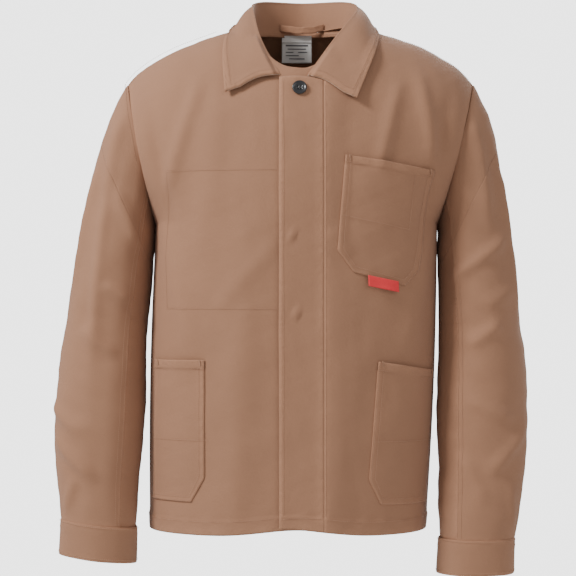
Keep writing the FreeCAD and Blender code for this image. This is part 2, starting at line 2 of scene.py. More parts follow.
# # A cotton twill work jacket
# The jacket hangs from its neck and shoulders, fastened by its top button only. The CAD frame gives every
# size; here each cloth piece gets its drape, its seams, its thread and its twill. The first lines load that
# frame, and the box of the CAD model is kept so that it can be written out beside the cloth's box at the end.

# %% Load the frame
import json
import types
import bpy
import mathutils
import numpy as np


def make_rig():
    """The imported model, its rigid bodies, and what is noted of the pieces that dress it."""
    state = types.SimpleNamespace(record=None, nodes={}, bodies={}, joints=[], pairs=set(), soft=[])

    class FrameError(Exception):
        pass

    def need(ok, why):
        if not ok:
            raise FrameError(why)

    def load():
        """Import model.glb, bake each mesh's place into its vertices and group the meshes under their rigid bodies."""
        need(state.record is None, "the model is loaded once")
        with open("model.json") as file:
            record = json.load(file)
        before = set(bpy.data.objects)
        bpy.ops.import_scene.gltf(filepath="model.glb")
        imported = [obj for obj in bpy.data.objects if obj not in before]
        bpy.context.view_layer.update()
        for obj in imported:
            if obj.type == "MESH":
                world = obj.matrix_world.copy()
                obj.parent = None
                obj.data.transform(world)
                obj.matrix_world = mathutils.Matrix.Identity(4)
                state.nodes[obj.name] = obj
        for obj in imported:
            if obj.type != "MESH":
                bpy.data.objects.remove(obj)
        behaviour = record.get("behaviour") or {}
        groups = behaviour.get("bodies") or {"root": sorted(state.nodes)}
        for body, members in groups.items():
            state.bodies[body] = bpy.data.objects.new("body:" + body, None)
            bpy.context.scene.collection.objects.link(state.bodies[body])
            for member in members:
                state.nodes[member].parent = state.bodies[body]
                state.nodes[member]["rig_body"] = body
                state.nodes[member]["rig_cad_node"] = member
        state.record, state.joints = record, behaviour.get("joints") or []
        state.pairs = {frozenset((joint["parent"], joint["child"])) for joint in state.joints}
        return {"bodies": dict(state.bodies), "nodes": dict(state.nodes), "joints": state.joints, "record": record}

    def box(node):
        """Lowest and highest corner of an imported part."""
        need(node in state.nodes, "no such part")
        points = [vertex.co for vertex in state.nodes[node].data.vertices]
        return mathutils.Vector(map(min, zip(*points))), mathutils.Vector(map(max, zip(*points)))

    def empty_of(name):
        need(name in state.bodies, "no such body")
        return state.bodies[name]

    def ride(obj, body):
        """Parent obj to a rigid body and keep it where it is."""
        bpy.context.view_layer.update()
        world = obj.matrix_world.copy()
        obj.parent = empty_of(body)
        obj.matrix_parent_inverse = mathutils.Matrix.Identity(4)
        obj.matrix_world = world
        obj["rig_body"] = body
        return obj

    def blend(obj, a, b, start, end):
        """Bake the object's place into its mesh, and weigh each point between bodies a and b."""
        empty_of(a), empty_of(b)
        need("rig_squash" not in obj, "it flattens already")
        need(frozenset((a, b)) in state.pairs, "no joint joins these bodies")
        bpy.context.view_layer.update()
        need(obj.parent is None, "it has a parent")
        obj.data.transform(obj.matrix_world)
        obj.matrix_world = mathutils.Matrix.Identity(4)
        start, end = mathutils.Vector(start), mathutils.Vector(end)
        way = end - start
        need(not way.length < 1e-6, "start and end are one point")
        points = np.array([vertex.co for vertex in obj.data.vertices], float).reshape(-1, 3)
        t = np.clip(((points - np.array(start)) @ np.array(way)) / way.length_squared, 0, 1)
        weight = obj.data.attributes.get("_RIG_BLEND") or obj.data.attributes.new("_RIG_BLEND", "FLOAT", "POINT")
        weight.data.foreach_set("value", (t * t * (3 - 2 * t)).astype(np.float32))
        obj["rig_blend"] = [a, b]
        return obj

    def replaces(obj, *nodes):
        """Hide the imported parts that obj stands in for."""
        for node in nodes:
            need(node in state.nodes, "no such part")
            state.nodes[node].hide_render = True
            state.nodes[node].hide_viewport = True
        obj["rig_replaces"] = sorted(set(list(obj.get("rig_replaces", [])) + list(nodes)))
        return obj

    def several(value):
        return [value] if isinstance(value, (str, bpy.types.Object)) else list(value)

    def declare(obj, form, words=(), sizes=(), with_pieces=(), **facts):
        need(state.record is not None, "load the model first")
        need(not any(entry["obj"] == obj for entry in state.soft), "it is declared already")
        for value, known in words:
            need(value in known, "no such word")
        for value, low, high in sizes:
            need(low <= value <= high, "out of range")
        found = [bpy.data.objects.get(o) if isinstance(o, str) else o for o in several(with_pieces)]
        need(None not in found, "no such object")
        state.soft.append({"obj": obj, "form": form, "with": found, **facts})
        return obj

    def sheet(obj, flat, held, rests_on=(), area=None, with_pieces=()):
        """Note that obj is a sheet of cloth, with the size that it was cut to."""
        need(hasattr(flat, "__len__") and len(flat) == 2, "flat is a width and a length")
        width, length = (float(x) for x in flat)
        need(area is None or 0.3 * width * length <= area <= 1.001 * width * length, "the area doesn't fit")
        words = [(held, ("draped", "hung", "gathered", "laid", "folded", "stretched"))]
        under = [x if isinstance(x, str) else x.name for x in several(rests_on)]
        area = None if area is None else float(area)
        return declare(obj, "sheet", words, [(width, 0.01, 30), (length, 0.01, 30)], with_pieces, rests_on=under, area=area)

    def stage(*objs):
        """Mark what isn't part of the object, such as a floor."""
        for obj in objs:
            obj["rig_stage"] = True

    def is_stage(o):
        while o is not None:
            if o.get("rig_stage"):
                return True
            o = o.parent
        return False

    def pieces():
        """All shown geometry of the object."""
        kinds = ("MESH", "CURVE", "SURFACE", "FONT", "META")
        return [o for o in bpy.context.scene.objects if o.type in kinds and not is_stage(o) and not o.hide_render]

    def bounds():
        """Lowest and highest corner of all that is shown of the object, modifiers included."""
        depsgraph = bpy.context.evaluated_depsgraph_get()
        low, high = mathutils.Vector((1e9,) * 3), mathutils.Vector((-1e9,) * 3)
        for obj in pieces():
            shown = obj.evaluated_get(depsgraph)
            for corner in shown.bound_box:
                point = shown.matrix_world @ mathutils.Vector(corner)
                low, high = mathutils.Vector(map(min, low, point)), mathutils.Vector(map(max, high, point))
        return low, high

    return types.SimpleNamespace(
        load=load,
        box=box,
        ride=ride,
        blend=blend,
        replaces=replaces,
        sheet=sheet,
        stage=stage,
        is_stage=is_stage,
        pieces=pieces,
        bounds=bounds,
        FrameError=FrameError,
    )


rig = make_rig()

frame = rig.load()
cad_box = [list(corner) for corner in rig.bounds()]

import json
import bmesh
import bpy
import numpy as np
from mathutils import Matrix, Vector

print("bodies:", sorted(frame["bodies"]), "nodes:", len(frame["nodes"]))

# %% [markdown]
# ## The three shapes
# A garment is flat cloth led round three shapes: a body, two sleeves and a collar. Each is a function of
# two parameters, worked out for whole arrays at once, so that panels, pockets, labels and lines of thread
# that lie on one shape all agree. The body's rows are ovals. Above the underarm they run from the centre
# up to the shoulder on one side and to the armhole on the other.

# %% Sizes taken from the frame
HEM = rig.box("back_panel")[0][2]
SHOULDER_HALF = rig.box("back_panel")[1][0]
BACK_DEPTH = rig.box("back_panel")[1][1]
FRONT_DEPTH = -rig.box("right_front_panel")[0][1]
CUFF_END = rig.box("left_cuff")[0][2]
CUFF_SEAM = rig.box("left_top_forearm")[0][2]
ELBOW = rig.box("left_top_sleeve")[0][2]
FLY_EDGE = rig.box("fly_flap")[0][0]
UNDERARM = 0.4 * HEM
CHEST_HALF = 0.2105
HEM_HALF = 0.2065
SHOULDER_DROP = -0.092
SHOULDER_TOP = 0.004
SEAM_FORWARD = 0.008
ARMHOLE_DEPTH = 0.062
FLY_STITCH = 0.0376
CLOTH = 0.0012
HEM_STITCH = 0.0195
print(f"hem {HEM:.3f}, cuff end {CUFF_END:.3f}, elbow {ELBOW:.3f}, fly edge {FLY_EDGE:.3f}")


# %% The body shape
def mix(low, high, share):
    """Goes in a straight line from low to high."""
    return low + (high - low) * share


def smooth(low, high, value):
    """0 below low, 1 above high, and an S curve between them."""
    share = np.clip((value - low) / (high - low), 0, 1)
    return share * share * (3 - 2 * share)


def stack(x, y, z):
    """Three coordinates as one array of points."""
    return np.stack(np.broadcast_arrays(x, y, z), axis=-1)


def armhole(share, face):
    """The armhole edge from underarm 0 to shoulder tip 1: an oval that leans outwards, face -1 in front."""
    rise = (1 - np.cos(np.pi * share)) / 2
    swell = np.maximum(0, np.sin(np.pi * share)) ** 1.6
    return stack(mix(CHEST_HALF, SHOULDER_HALF, rise),
                 -SEAM_FORWARD * share + face * ARMHOLE_DEPTH * swell,
                 mix(UNDERARM, SHOULDER_DROP, rise))


def body(turn, level, face):
    """The undraped body: turn is the angle from the centre, level -1 the hem, 0 the underarm, 1 the shoulder.

    Each row is an oval from the centre point to the side point, widened a little at 45 degrees.
    """
    turn, level = np.broadcast_arrays(np.asarray(turn, float), np.asarray(level, float))
    below, above = np.clip(-level, 0, 1), np.clip(level, 0, 1)
    deep = FRONT_DEPTH if face < 0 else BACK_DEPTH
    square = 1 + (0.03 if face < 0 else 0.16) * np.sin(np.pi * above) ** 2
    arc = above * np.pi / 2
    centre_y = -SEAM_FORWARD + (face * deep + SEAM_FORWARD) * np.cos(arc) * square
    centre_y = np.where(level <= 0, face * deep * (1 - 0.02 * below ** 2), centre_y)
    centre_z = UNDERARM + (SHOULDER_TOP - UNDERARM) * np.sin(arc) * square
    centre_z = np.where(level <= 0, mix(UNDERARM, HEM, below), centre_z)
    hole = armhole(above, face)
    low_x = mix(CHEST_HALF, HEM_HALF, below) + 0.004 * np.sin(np.pi * below)
    side_x = np.where(level <= 0, low_x, hole[..., 0])
    side_y = np.where(level <= 0, 0, hole[..., 1])
    side_z = np.where(level <= 0, centre_z, hole[..., 2])
    wide = 1 + 0.06 * np.sin(2 * turn) ** 2
    sine, cosine = np.sin(np.abs(turn)), np.cos(turn)
    return stack(np.sign(turn) * side_x * sine * wide,
                 side_y + (centre_y - side_y) * cosine * wide,
                 centre_z + (side_z - centre_z) * sine ** 2)


def unit(vectors):
    """The same directions, one long."""
    return vectors / np.maximum(np.linalg.norm(vectors, axis=-1, keepdims=True), 1e-12)


# %% [markdown]
# ## How cloth hangs
# A real jacket is never even. It leans a few millimetres to one side, drag lines run from the armholes,
# and soft folds fall from the chest. A fold here is a long low ridge: its height is a bell curve across a
# line and fades at both ends. Between the folds lies a slow ripple, a sum of a few seeded sine waves.

# %% Folds, ripples and the lean
def ridge(across, along, start, end, width, height):
    """A ridge on the line from start to end: height times a bell curve across it, faded at its ends."""
    start, end = np.array(start), np.array(end)
    run = end - start
    length = np.linalg.norm(run)
    share = ((across - start[0]) * run[0] + (along - start[1]) * run[1]) / length ** 2
    side = ((across - start[0]) * run[1] - (along - start[1]) * run[0]) / length
    fade = smooth(-0.25, 0.2, share) * smooth(1.25, 0.8, share)
    return height * fade * np.exp(-(side / width) ** 2)


def ripple(across, along, seed, wave, count=7):
    """A slow uneven swell between about -1 and 1: sine waves in seeded directions, near one wavelength."""
    rng = np.random.default_rng(seed)
    total = 0
    for _ in range(count):
        angle, phase, stretch = rng.uniform(0, np.pi), rng.uniform(0, 2 * np.pi), rng.uniform(0.6, 1.7)
        along_wave = across * np.cos(angle) + along * np.sin(angle)
        total = total + np.sin(2 * np.pi * along_wave / (wave * stretch) + phase)
    return total / count


def lean(x, y, z):
    """How far a point moves sideways: more with height, and not at all at the fastened front edge."""
    held = (1 - smooth(0.03, 0.15, np.abs(x))) * (1 - smooth(-0.09, -0.02, y))
    return (0.008 + 0.029 * z) * (1 - held)


def hang(points):
    """The points of a piece after the lean."""
    x, y, z = points[..., 0], points[..., 1], points[..., 2]
    return stack(x + lean(x, y, z), y, z)


FRONT_FOLDS = [
    # start (x, z), end (x, z), half width, height
    ((0.139, -0.110), (0.118, -0.215), 0.010, 0.0030),
    ((0.175, -0.100), (0.205, -0.255), 0.011, 0.0036),
    ((0.215, -0.130), (0.185, -0.300), 0.012, -0.0030),
    ((-0.150, -0.105), (-0.190, -0.250), 0.012, 0.0034),
    ((-0.215, -0.150), (-0.178, -0.330), 0.012, -0.0030),
    ((-0.120, -0.140), (-0.135, -0.330), 0.022, 0.0022),
    ((-0.195, -0.300), (-0.150, -0.470), 0.016, 0.0030),
    ((0.200, -0.300), (0.165, -0.480), 0.016, 0.0032),
    ((0.070, -0.400), (0.060, -0.740), 0.026, 0.0034),
    ((-0.075, -0.430), (-0.085, -0.745), 0.024, 0.0032),
    ((-0.030, -0.330), (-0.110, -0.420), 0.014, 0.0016),
    ((0.050, -0.315), (0.075, -0.345), 0.010, 0.0016),
    ((-0.012, -0.318), (-0.004, -0.322), 0.009, 0.0016),
    ((-0.006, -0.430), (0.002, -0.434), 0.009, 0.0016),
]
BACK_FOLDS = [
    ((-0.150, -0.130), (-0.100, -0.330), 0.018, 0.0048),
    ((0.150, -0.130), (0.105, -0.350), 0.018, 0.0044),
    ((-0.205, -0.230), (-0.140, -0.420), 0.016, 0.0050),
    ((0.205, -0.235), (0.150, -0.410), 0.016, 0.0048),
    ((-0.060, -0.300), (-0.075, -0.740), 0.028, 0.0052),
    ((0.045, -0.340), (0.070, -0.745), 0.026, 0.0056),
    ((0.145, -0.420), (0.130, -0.745), 0.022, 0.0040),
    ((-0.150, -0.440), (-0.140, -0.745), 0.022, 0.0044),
    ((-0.040, -0.060), (-0.075, -0.190), 0.018, 0.0026),
    ((0.045, -0.065), (0.070, -0.180), 0.018, 0.0026),
    ((-0.185, -0.500), (-0.090, -0.540), 0.012, 0.0026),
    ((0.190, -0.520), (0.095, -0.570), 0.012, 0.0026),
]


def fold_height(x, z, face):
    """How far the folds and the ripple lift the front or the back, fading out at the side seams."""
    folds = FRONT_FOLDS if face < 0 else BACK_FOLDS
    total = sum(ridge(x, z, *fold) for fold in folds)
    total = total * 1.5 + 0.0024 * ripple(x, z * 0.40, 11 + face, 0.14)
    total = total + 0.0012 * ripple(x, z * 0.6, 15 + face, 0.055) + 0.0004 * ripple(x, z, 19 + face, 0.022)
    calm = 1 - smooth(0.176, 0.212, np.abs(x)) * smooth(-0.20, -0.32, z)
    return total * calm


def normals_of(shape, first, second, *rest):
    """Outward directions of a shape by small steps along its two parameters."""
    step = 1e-4
    one = shape(first + step, second, *rest) - shape(first - step, second, *rest)
    two = shape(first, second + step, *rest) - shape(first, second - step, *rest)
    return unit(np.cross(one, two))


def placket_lift(x):
    """The fly's layers of cloth raise the left front towards the stitch line."""
    return 0.0050 * smooth(0.078, FLY_STITCH, x)


def hem_rise(turn, level, face):
    """The hem lifts a little near the front edge, where the facings stiffen it."""
    if face > 0:
        return 0 * turn
    return 0.010 * np.exp(-(turn / 0.34) ** 2) * smooth(-0.55, -1.0, level)


def skin(turn, level, face, lift=0.0, folds=1.0, placket=True):
    """The draped body, lift above its outer face."""
    turn, level = np.broadcast_arrays(np.asarray(turn, float), np.asarray(level, float))
    points = body(turn, level, face)
    out = normals_of(body, turn, level, face) * (-face)
    rise = lift + folds * fold_height(points[..., 0], points[..., 2], face)
    if placket and face < 0:
        rise = rise + placket_lift(points[..., 0])
    points = points + out * np.asarray(rise)[..., None]
    points[..., 2] += hem_rise(turn, level, face)
    return hang(points)


def locate(x, z, face=-1):
    """The turn and level at which the hanging body has this x and z, by repeated correction."""
    x, z = np.broadcast_arrays(np.asarray(x, float), np.asarray(z, float))
    x = x - lean(x - lean(x, face * 0.12, z), face * 0.12, z)
    level = np.where(z < UNDERARM, -(z - UNDERARM) / (HEM - UNDERARM), (z - UNDERARM) / (0 - UNDERARM) * 0.8)
    turn = np.arcsin(np.clip(x / 0.23, -0.98, 0.98))
    for _ in range(25):
        now = body(turn, level, face)
        step = 1e-3
        by_turn = (body(turn + step, level, face)[..., 0] - now[..., 0]) / step
        by_level = (body(turn, level + step, face)[..., 2] - now[..., 2]) / step
        turn = np.clip(turn + 0.8 * (x - now[..., 0]) / np.maximum(by_turn, 0.02), -1.56, 1.56)
        level = np.clip(level + 0.8 * (z - now[..., 2]) / np.maximum(by_level, 0.05), -1, 1)
    return turn, level


print("a point of the chest:", np.round(skin(*locate(0.10, -0.25), -1), 3))

# %% [markdown]
# ## The sleeve shape
# A sleeve is a tube whose sections start as the armhole's leaning oval and end as the level oval of the
# cuff. The elbow's crook is in front, and the forearm swings forward, as an arm hangs. Its folds are given
# on the unrolled tube, by the angle round the arm and the height, because folds turn with the tube.


# %% Sleeve surface
def through(first, middle, last, share):
    """A parabola through three values at 0, one half and 1."""
    bend = 2 * (first + last - 2 * middle)
    return first + (last - first - bend) * share + bend * share * share


def sleeve(turn, share, side):
    """The undraped sleeve: turn 0 is its inner side, 90 degrees front; share 1 is the elbow, 2 the cuff."""
    turn, share = np.broadcast_arrays(np.asarray(turn, float), np.asarray(share, float))
    upper = np.clip(share, 0, 1)[..., None]
    tip, low = armhole(np.array(1.0), -1), armhole(np.array(0.0), -1)
    elbow_out, elbow_in = np.array([0.334, 0, ELBOW]), np.array([0.2165, 0, ELBOW])
    bulge = np.array([0.3045, 0, -0.150])
    outer = tip * (1 - upper) ** 2 + bulge * 2 * upper * (1 - upper) + elbow_out * upper ** 2
    inner = low * (1 - upper) + elbow_in * upper
    upper = upper[..., 0]
    lower = np.clip(share - 1, 0, 1.2)
    centre = through(0.2752, 0.2830, 0.2780, lower)
    half = through(0.0588, 0.0655, 0.0535, lower)
    drop = mix(ELBOW, CUFF_SEAM, lower)
    forearm = share > 1
    outer = np.where(forearm[..., None], stack(centre + half, 0 * half, drop), outer)
    inner = np.where(forearm[..., None], stack(centre - half, 0 * half, drop), inner)
    deep = np.where(forearm, through(0.062, 0.060, 0.043, lower), ARMHOLE_DEPTH)
    forward = np.where(forearm, through(0.020, 0.034, 0.054, lower), 0.020 * upper)
    around = np.mod(turn, 2 * np.pi)
    points = (outer + inner) / 2 - (outer - inner) * (0.5 * np.cos(turn))[..., None]
    points[..., 1] += -forward - deep * np.sin(turn)
    hold = np.maximum(0, 1 - 4 * upper)[..., None]
    share_round = np.minimum(around, 2 * np.pi - around) / np.pi
    rim = np.where((around <= np.pi)[..., None], armhole(share_round, -1), armhole(share_round, 1))
    points = points * (1 - hold) + rim * hold
    points[..., 0] *= side
    return points


SLEEVE_FOLDS = {
    # angle in degrees and height, start and end; half width and height of the ridge
    -1: [((150, -0.235), (158, -0.390), 0.011, 0.0042), ((118, -0.265), (104, -0.480), 0.010, 0.0038),
         ((132, -0.150), (120, -0.255), 0.012, 0.0034), ((60, -0.330), (105, -0.255), 0.010, 0.0030),
         ((150, -0.640), (95, -0.690), 0.010, 0.0044), ((165, -0.590), (110, -0.625), 0.011, 0.0040),
         ((75, -0.500), (120, -0.470), 0.010, 0.0034), ((60, -0.420), (95, -0.400), 0.010, 0.0026),
         ((190, -0.300), (200, -0.560), 0.014, 0.0036), ((235, -0.230), (250, -0.420), 0.014, 0.0042),
         ((270, -0.440), (215, -0.480), 0.012, 0.0050), ((255, -0.520), (200, -0.540), 0.012, 0.0044),
         ((120, -0.700), (140, -0.745), 0.009, 0.0028), ((215, -0.660), (235, -0.750), 0.010, 0.0036)],
    1: [((60, -0.375), (135, -0.325), 0.010, 0.0048), ((75, -0.475), (110, -0.450), 0.010, 0.0044),
        ((120, -0.150), (112, -0.290), 0.012, 0.0036), ((150, -0.200), (156, -0.420), 0.012, 0.0036),
        ((95, -0.420), (150, -0.395), 0.012, 0.0034), ((70, -0.560), (120, -0.585), 0.011, 0.0036),
        ((150, -0.600), (100, -0.660), 0.011, 0.0038), ((60, -0.640), (90, -0.700), 0.010, 0.0030),
        ((190, -0.320), (196, -0.600), 0.014, 0.0038), ((235, -0.240), (248, -0.430), 0.014, 0.0042),
        ((268, -0.450), (212, -0.470), 0.012, 0.0050), ((255, -0.530), (205, -0.555), 0.012, 0.0046),
        ((130, -0.690), (145, -0.750), 0.009, 0.0026), ((220, -0.670), (238, -0.750), 0.010, 0.0034)],
}


def sleeve_rise(turn, share, z, side):
    """How far the folds lift the sleeve. They fade at the armhole and at the cuff seam."""
    arc = np.mod(turn, 2 * np.pi) * 0.062
    total = 0
    for start, end, width, height in SLEEVE_FOLDS[side]:
        first, last = (np.radians(start[0]) * 0.062, start[1]), (np.radians(end[0]) * 0.062, end[1])
        total = total + ridge(arc, z, first, last, width, height)
    wave = np.stack([np.cos(turn), np.sin(turn)])
    total = total * 1.35 + 0.0024 * ripple(wave[0] * 0.06 + wave[1] * 0.04, z * 0.6, 31 + side, 0.09)
    total = total + 0.0012 * ripple(wave[0] * 0.06, z, 35 + side, 0.04)
    return total * smooth(0.02, 0.22, share) * smooth(2.0, 1.86, share)


def raised(x, share):
    """How much higher the wearer's right sleeve hangs: 22 mm at its cuff, and more on its outer side."""
    return 0.022 * smooth(0.1, 2.0, share) * (1 + 0.3 * np.clip((-x - 0.28) / 0.06, -1, 1))


def sleeve_skin(turn, share, side, lift=0.0, folds=1.0):
    """The draped sleeve, lift above its outer face."""
    turn, share = np.broadcast_arrays(np.asarray(turn, float), np.asarray(share, float))
    points = sleeve(turn, share, side)
    out = normals_of(sleeve, turn, share, side) * (-side)
    rise = lift + folds * sleeve_rise(turn, share, points[..., 2], side)
    points = points + out * np.asarray(rise)[..., None]
    if side < 0:
        points[..., 2] += raised(points[..., 0], share)
    return hang(points)


print("cuff seam, outer side:", np.round(sleeve_skin(np.pi, 2.0, 1), 3))

# %% [markdown]
# ## The collar shape
# A one-piece turn-down collar stands up from the neck seam, folds over and falls outwards. Three lines
# that run round the neck carry it: the seam, the fold and the outer edge. A smooth line through a few
# chosen points is enough for each, and the cloth between them is a short curve.


# %% Collar surface
def smooth_line(points, share):
    """A Catmull-Rom line through the points, at shares from 0 to 1 of its length by spans."""
    points = np.array(points, float)
    padded = np.concatenate([[2 * points[0] - points[1]], points, [2 * points[-1] - points[-2]]])
    place = np.clip(np.asarray(share, float), 0, 1) * (len(points) - 1)
    span = np.minimum(place.astype(int), len(points) - 2)
    u = (place - span)[..., None]
    a, b, c, d = (padded[span + k] for k in range(4))
    square, cube = 2 * a - 5 * b + 4 * c - d, 3 * b - a - 3 * c + d
    return 0.5 * (2 * b + (c - a) * u + square * u ** 2 + cube * u ** 3)


# right end, right front, right side, right back, centre back, then the wearer's left
NECK_SEAM = [(-0.006, -0.101, -0.090), (-0.056, -0.066, -0.053), (-0.0755, -0.008, -0.022),
             (-0.053, 0.043, -0.012), (0, 0.066, -0.011), (0.053, 0.043, -0.012),
             (0.0755, -0.008, -0.022), (0.056, -0.066, -0.053),
             (0.010, -0.102, -0.092)]
COLLAR_FOLD = [(-0.0225, -0.114, -0.088), (-0.056, -0.064, -0.021), (-0.071, -0.010, 0.022),
               (-0.062, 0.040, 0.040), (0, 0.072, 0.043), (0.062, 0.040, 0.040),
               (0.077, -0.010, 0.024), (0.064, -0.064, -0.010),
               (0.0125, -0.116, -0.089)]
COLLAR_EDGE = [(-0.1015, -0.120, -0.1125), (-0.108, -0.080, -0.052), (-0.104, -0.008, -0.012),
               (-0.080, 0.080, -0.010), (0, 0.116, -0.012), (0.080, 0.080, -0.010),
               (0.107, -0.008, -0.010), (0.103, -0.080, -0.050),
               (0.0765, -0.126, -0.1246)]


def rest_on_front(points, gap):
    """Cloth that would pass through the fronts lies on them instead, gap in front of their outer face."""
    x, z = points[..., 0], points[..., 2]
    turn, level = locate(x, z)
    under = skin(turn, level, -1)
    there = np.hypot(under[..., 0] - x, under[..., 2] - z) < 0.004
    push = np.maximum(0, points[..., 1] - (under[..., 1] - gap))
    moved = points.copy()
    moved[..., 1] -= np.where(there, np.minimum(push, 0.03), 0)
    return moved


def collar(share, down):
    """share runs round the neck from the right end; down -1 is the seam, 0 the fold and 1 the outer edge."""
    share, down = np.broadcast_arrays(np.asarray(share, float), np.asarray(down, float))
    seam, fold, edge = (smooth_line(line, share) for line in (NECK_SEAM, COLLAR_FOLD, COLLAR_EDGE))
    out = edge - fold
    out[..., 2] = 0
    out = unit(out)
    up = np.clip(-down, 0, 1)[..., None]
    fall = np.clip(down, 0, 1)[..., None]
    stand = seam * up + fold * (1 - up) + out * 0.003 * (1 - up) ** 4
    crest = np.sin(np.pi * np.minimum(1, fall * 1.4)) * 0.0055
    proud = out * (0.003 + 0.0035 * np.sqrt(fall))
    drop = fold * (1 - fall) + edge * fall + proud + np.array([0, 0, 1]) * crest
    bend = np.exp(-(down / 0.06) ** 2)[..., None] * 0.0012
    points = np.where((down <= 0)[..., None], stand, drop)
    points[..., 2] += bend[..., 0]
    return points


def collar_skin(share, down, lift=0.0):
    """The draped collar. The wearer's left tip lifts away from the chest."""
    share, down = np.broadcast_arrays(np.asarray(share, float), np.asarray(down, float))
    points = collar(share, down)
    out = normals_of(collar, share, down)
    ease = 0.0012 * ripple(share * 0.5, down * 0.06, 51, 0.07) * smooth(0.1, 0.6, down)
    tip = smooth(0.80, 1.0, share) * smooth(0.4, 1.0, down) * 0.005
    points = hang(points + out * (ease + tip)[..., None])
    falls = smooth(0.02, 0.10, down)[..., None]
    rested = rest_on_front(points, 0.0042 + tip + 0.0006 * np.sqrt(np.clip(down, 0, 1)))
    return mix(points, rested, falls) + out * (np.asarray(lift) + 0 * down)[..., None]


print("collar top:", np.round(collar_skin(0.5, 0.0), 3))

# %% [markdown]
# ## From arrays to cloth
# A rectangular array of points becomes a grid of quads with one call. Each sheet gets three things beside
# its shape: a UV map in metres, so that the twill keeps one size on every piece; a `seam` value that grows
# towards sewn edges, where the shader puckers and wears the cloth; and a thickness from Solidify.


# %% Grid pieces
def grid_mesh(name, points, uv, seam, closed=False):
    """A mesh of quads from rows x columns of points; closed joins the last column to the first."""
    rows, columns = points.shape[:2]
    index = np.arange(rows * columns).reshape(rows, columns)
    if closed:
        index = np.concatenate([index, index[:, :1]], axis=1)
        uv = np.concatenate([uv, uv[:, :1] + np.array([closed, 0.0])], axis=1)
    quads = np.stack([index[:-1, :-1], index[:-1, 1:], index[1:, 1:], index[1:, :-1]], axis=-1).reshape(-1, 4)
    mesh = bpy.data.meshes.new(name)
    mesh.from_pydata(points.reshape(-1, 3).tolist(), [], quads.tolist())
    place = np.arange(uv.shape[0] * uv.shape[1]).reshape(uv.shape[:2])
    corners = np.stack([place[:-1, :-1], place[:-1, 1:], place[1:, 1:], place[1:, :-1]], axis=-1).reshape(-1)
    layer = mesh.uv_layers.new(name="UVMap")
    layer.data.foreach_set("uv", uv.reshape(-1, 2)[corners].reshape(-1).astype(np.float32))
    mark = mesh.attributes.new("seam", "FLOAT", "POINT")
    mark.data.foreach_set("value", np.broadcast_to(seam, (rows, columns)).reshape(-1).astype(np.float32))
    mesh.shade_smooth()
    return mesh


def place_in_scene(name, mesh, material):
    """A new object of that mesh, with its material, at the origin."""
    piece = bpy.data.objects.new(name.replace(" ", "_"), mesh)
    bpy.context.scene.collection.objects.link(piece)
    mesh.materials.append(material)
    return piece


def thicken(piece, thickness, offset):
    """Adds a Solidify modifier: offset -1 grows inwards from the sheet and 1 outwards."""
    solid = piece.modifiers.new("thickness", "SOLIDIFY")
    solid.thickness = thickness
    solid.offset = offset
    solid.use_even_offset = False
    return piece


def lengths(points, axis):
    """Distances run along rows or columns, from 0, for a UV map in metres."""
    steps = np.linalg.norm(np.diff(points, axis=axis), axis=-1)
    start = np.zeros_like(np.take(steps, [0], axis=axis))
    return np.concatenate([start, np.cumsum(steps, axis=axis)], axis=axis)


def metric_uv(points):
    """A UV map in metres: across from the middle of each row, down along the middle column."""
    across = lengths(points, 1)
    across = across - across[:, [across.shape[1] // 2]]
    down = lengths(points, 0)[:, [points.shape[1] // 2]]
    return np.stack([across, np.broadcast_to(-down, across.shape)], axis=-1)


def edge_marks(across, down, width=0.012):
    """Near 1 at the borders of a rectangle and 0 inside, from distances in metres."""
    total_across = across[:, -1:] if across.ndim == 2 else across[-1]
    total_down = down[-1:, :] if down.ndim == 2 else down[-1]
    near = np.minimum(np.minimum(across, total_across - across), np.minimum(down, total_down - down))
    return smooth(width, 0.0, near)


def cloth(name, points, material, thickness=CLOTH, offset=-1.0, closed=False, seam=None, flip=False):
    """One sheet of cloth from a grid of points, thickened behind its outer face."""
    if flip:
        points = points[:, ::-1]
        seam = seam[:, ::-1] if isinstance(seam, np.ndarray) and seam.ndim == 2 else seam
    uv = metric_uv(points)
    if seam is None:
        seam = edge_marks(lengths(points, 1), lengths(points, 0))
    wrap = float(np.linalg.norm(points[0, -1] - points[0, 0])) if closed else False
    mesh = grid_mesh(name, points, uv, seam, closed=wrap)
    return thicken(place_in_scene(name, mesh, material), thickness, offset)


print("grid helpers ready")

# %% [markdown]
# ## Twill, thread and horn
# Twill shows as fine diagonal ribs: each weft thread floats over several warp threads, one step further
# along in each row. A wave along a 63 degree line in the metre UV gives the ribs, and noise breaks them as
# uneven yarn does. The group sends out a colour, a roughness and a height, and the material owns the BSDF.


# %% Shared node groups
def new_group(name, inputs, outputs):
    """An empty shader group with named sockets, and its input and output nodes."""
    group = bpy.data.node_groups.new(name, "ShaderNodeTree")
    for title, kind, value in inputs:
        socket = group.interface.new_socket(title, in_out="INPUT", socket_type=kind)
        socket.default_value = value
    for title, kind in outputs:
        group.interface.new_socket(title, in_out="OUTPUT", socket_type=kind)
    return group, group.nodes.new("NodeGroupInput"), group.nodes.new("NodeGroupOutput")


def math(tree, operation, first, second=None, clamp=False):
    """One Math node; its inputs may be sockets or numbers. Gives its output socket."""
    node = tree.nodes.new("ShaderNodeMath")
    node.operation = operation
    node.use_clamp = clamp
    for socket, value in zip(node.inputs, (first, second)):
        if isinstance(value, bpy.types.NodeSocket):
            tree.links.new(value, socket)
        elif value is not None:
            socket.default_value = value
    return node.outputs[0]


def noise(tree, vector, scale, detail=3.0, rough=0.55):
    """One Noise Texture on a vector socket. Gives its value output."""
    node = tree.nodes.new("ShaderNodeTexNoise")
    node.inputs["Scale"].default_value = scale
    node.inputs["Detail"].default_value = detail
    node.inputs["Roughness"].default_value = rough
    tree.links.new(vector, node.inputs["Vector"])
    return node.outputs["Fac"]


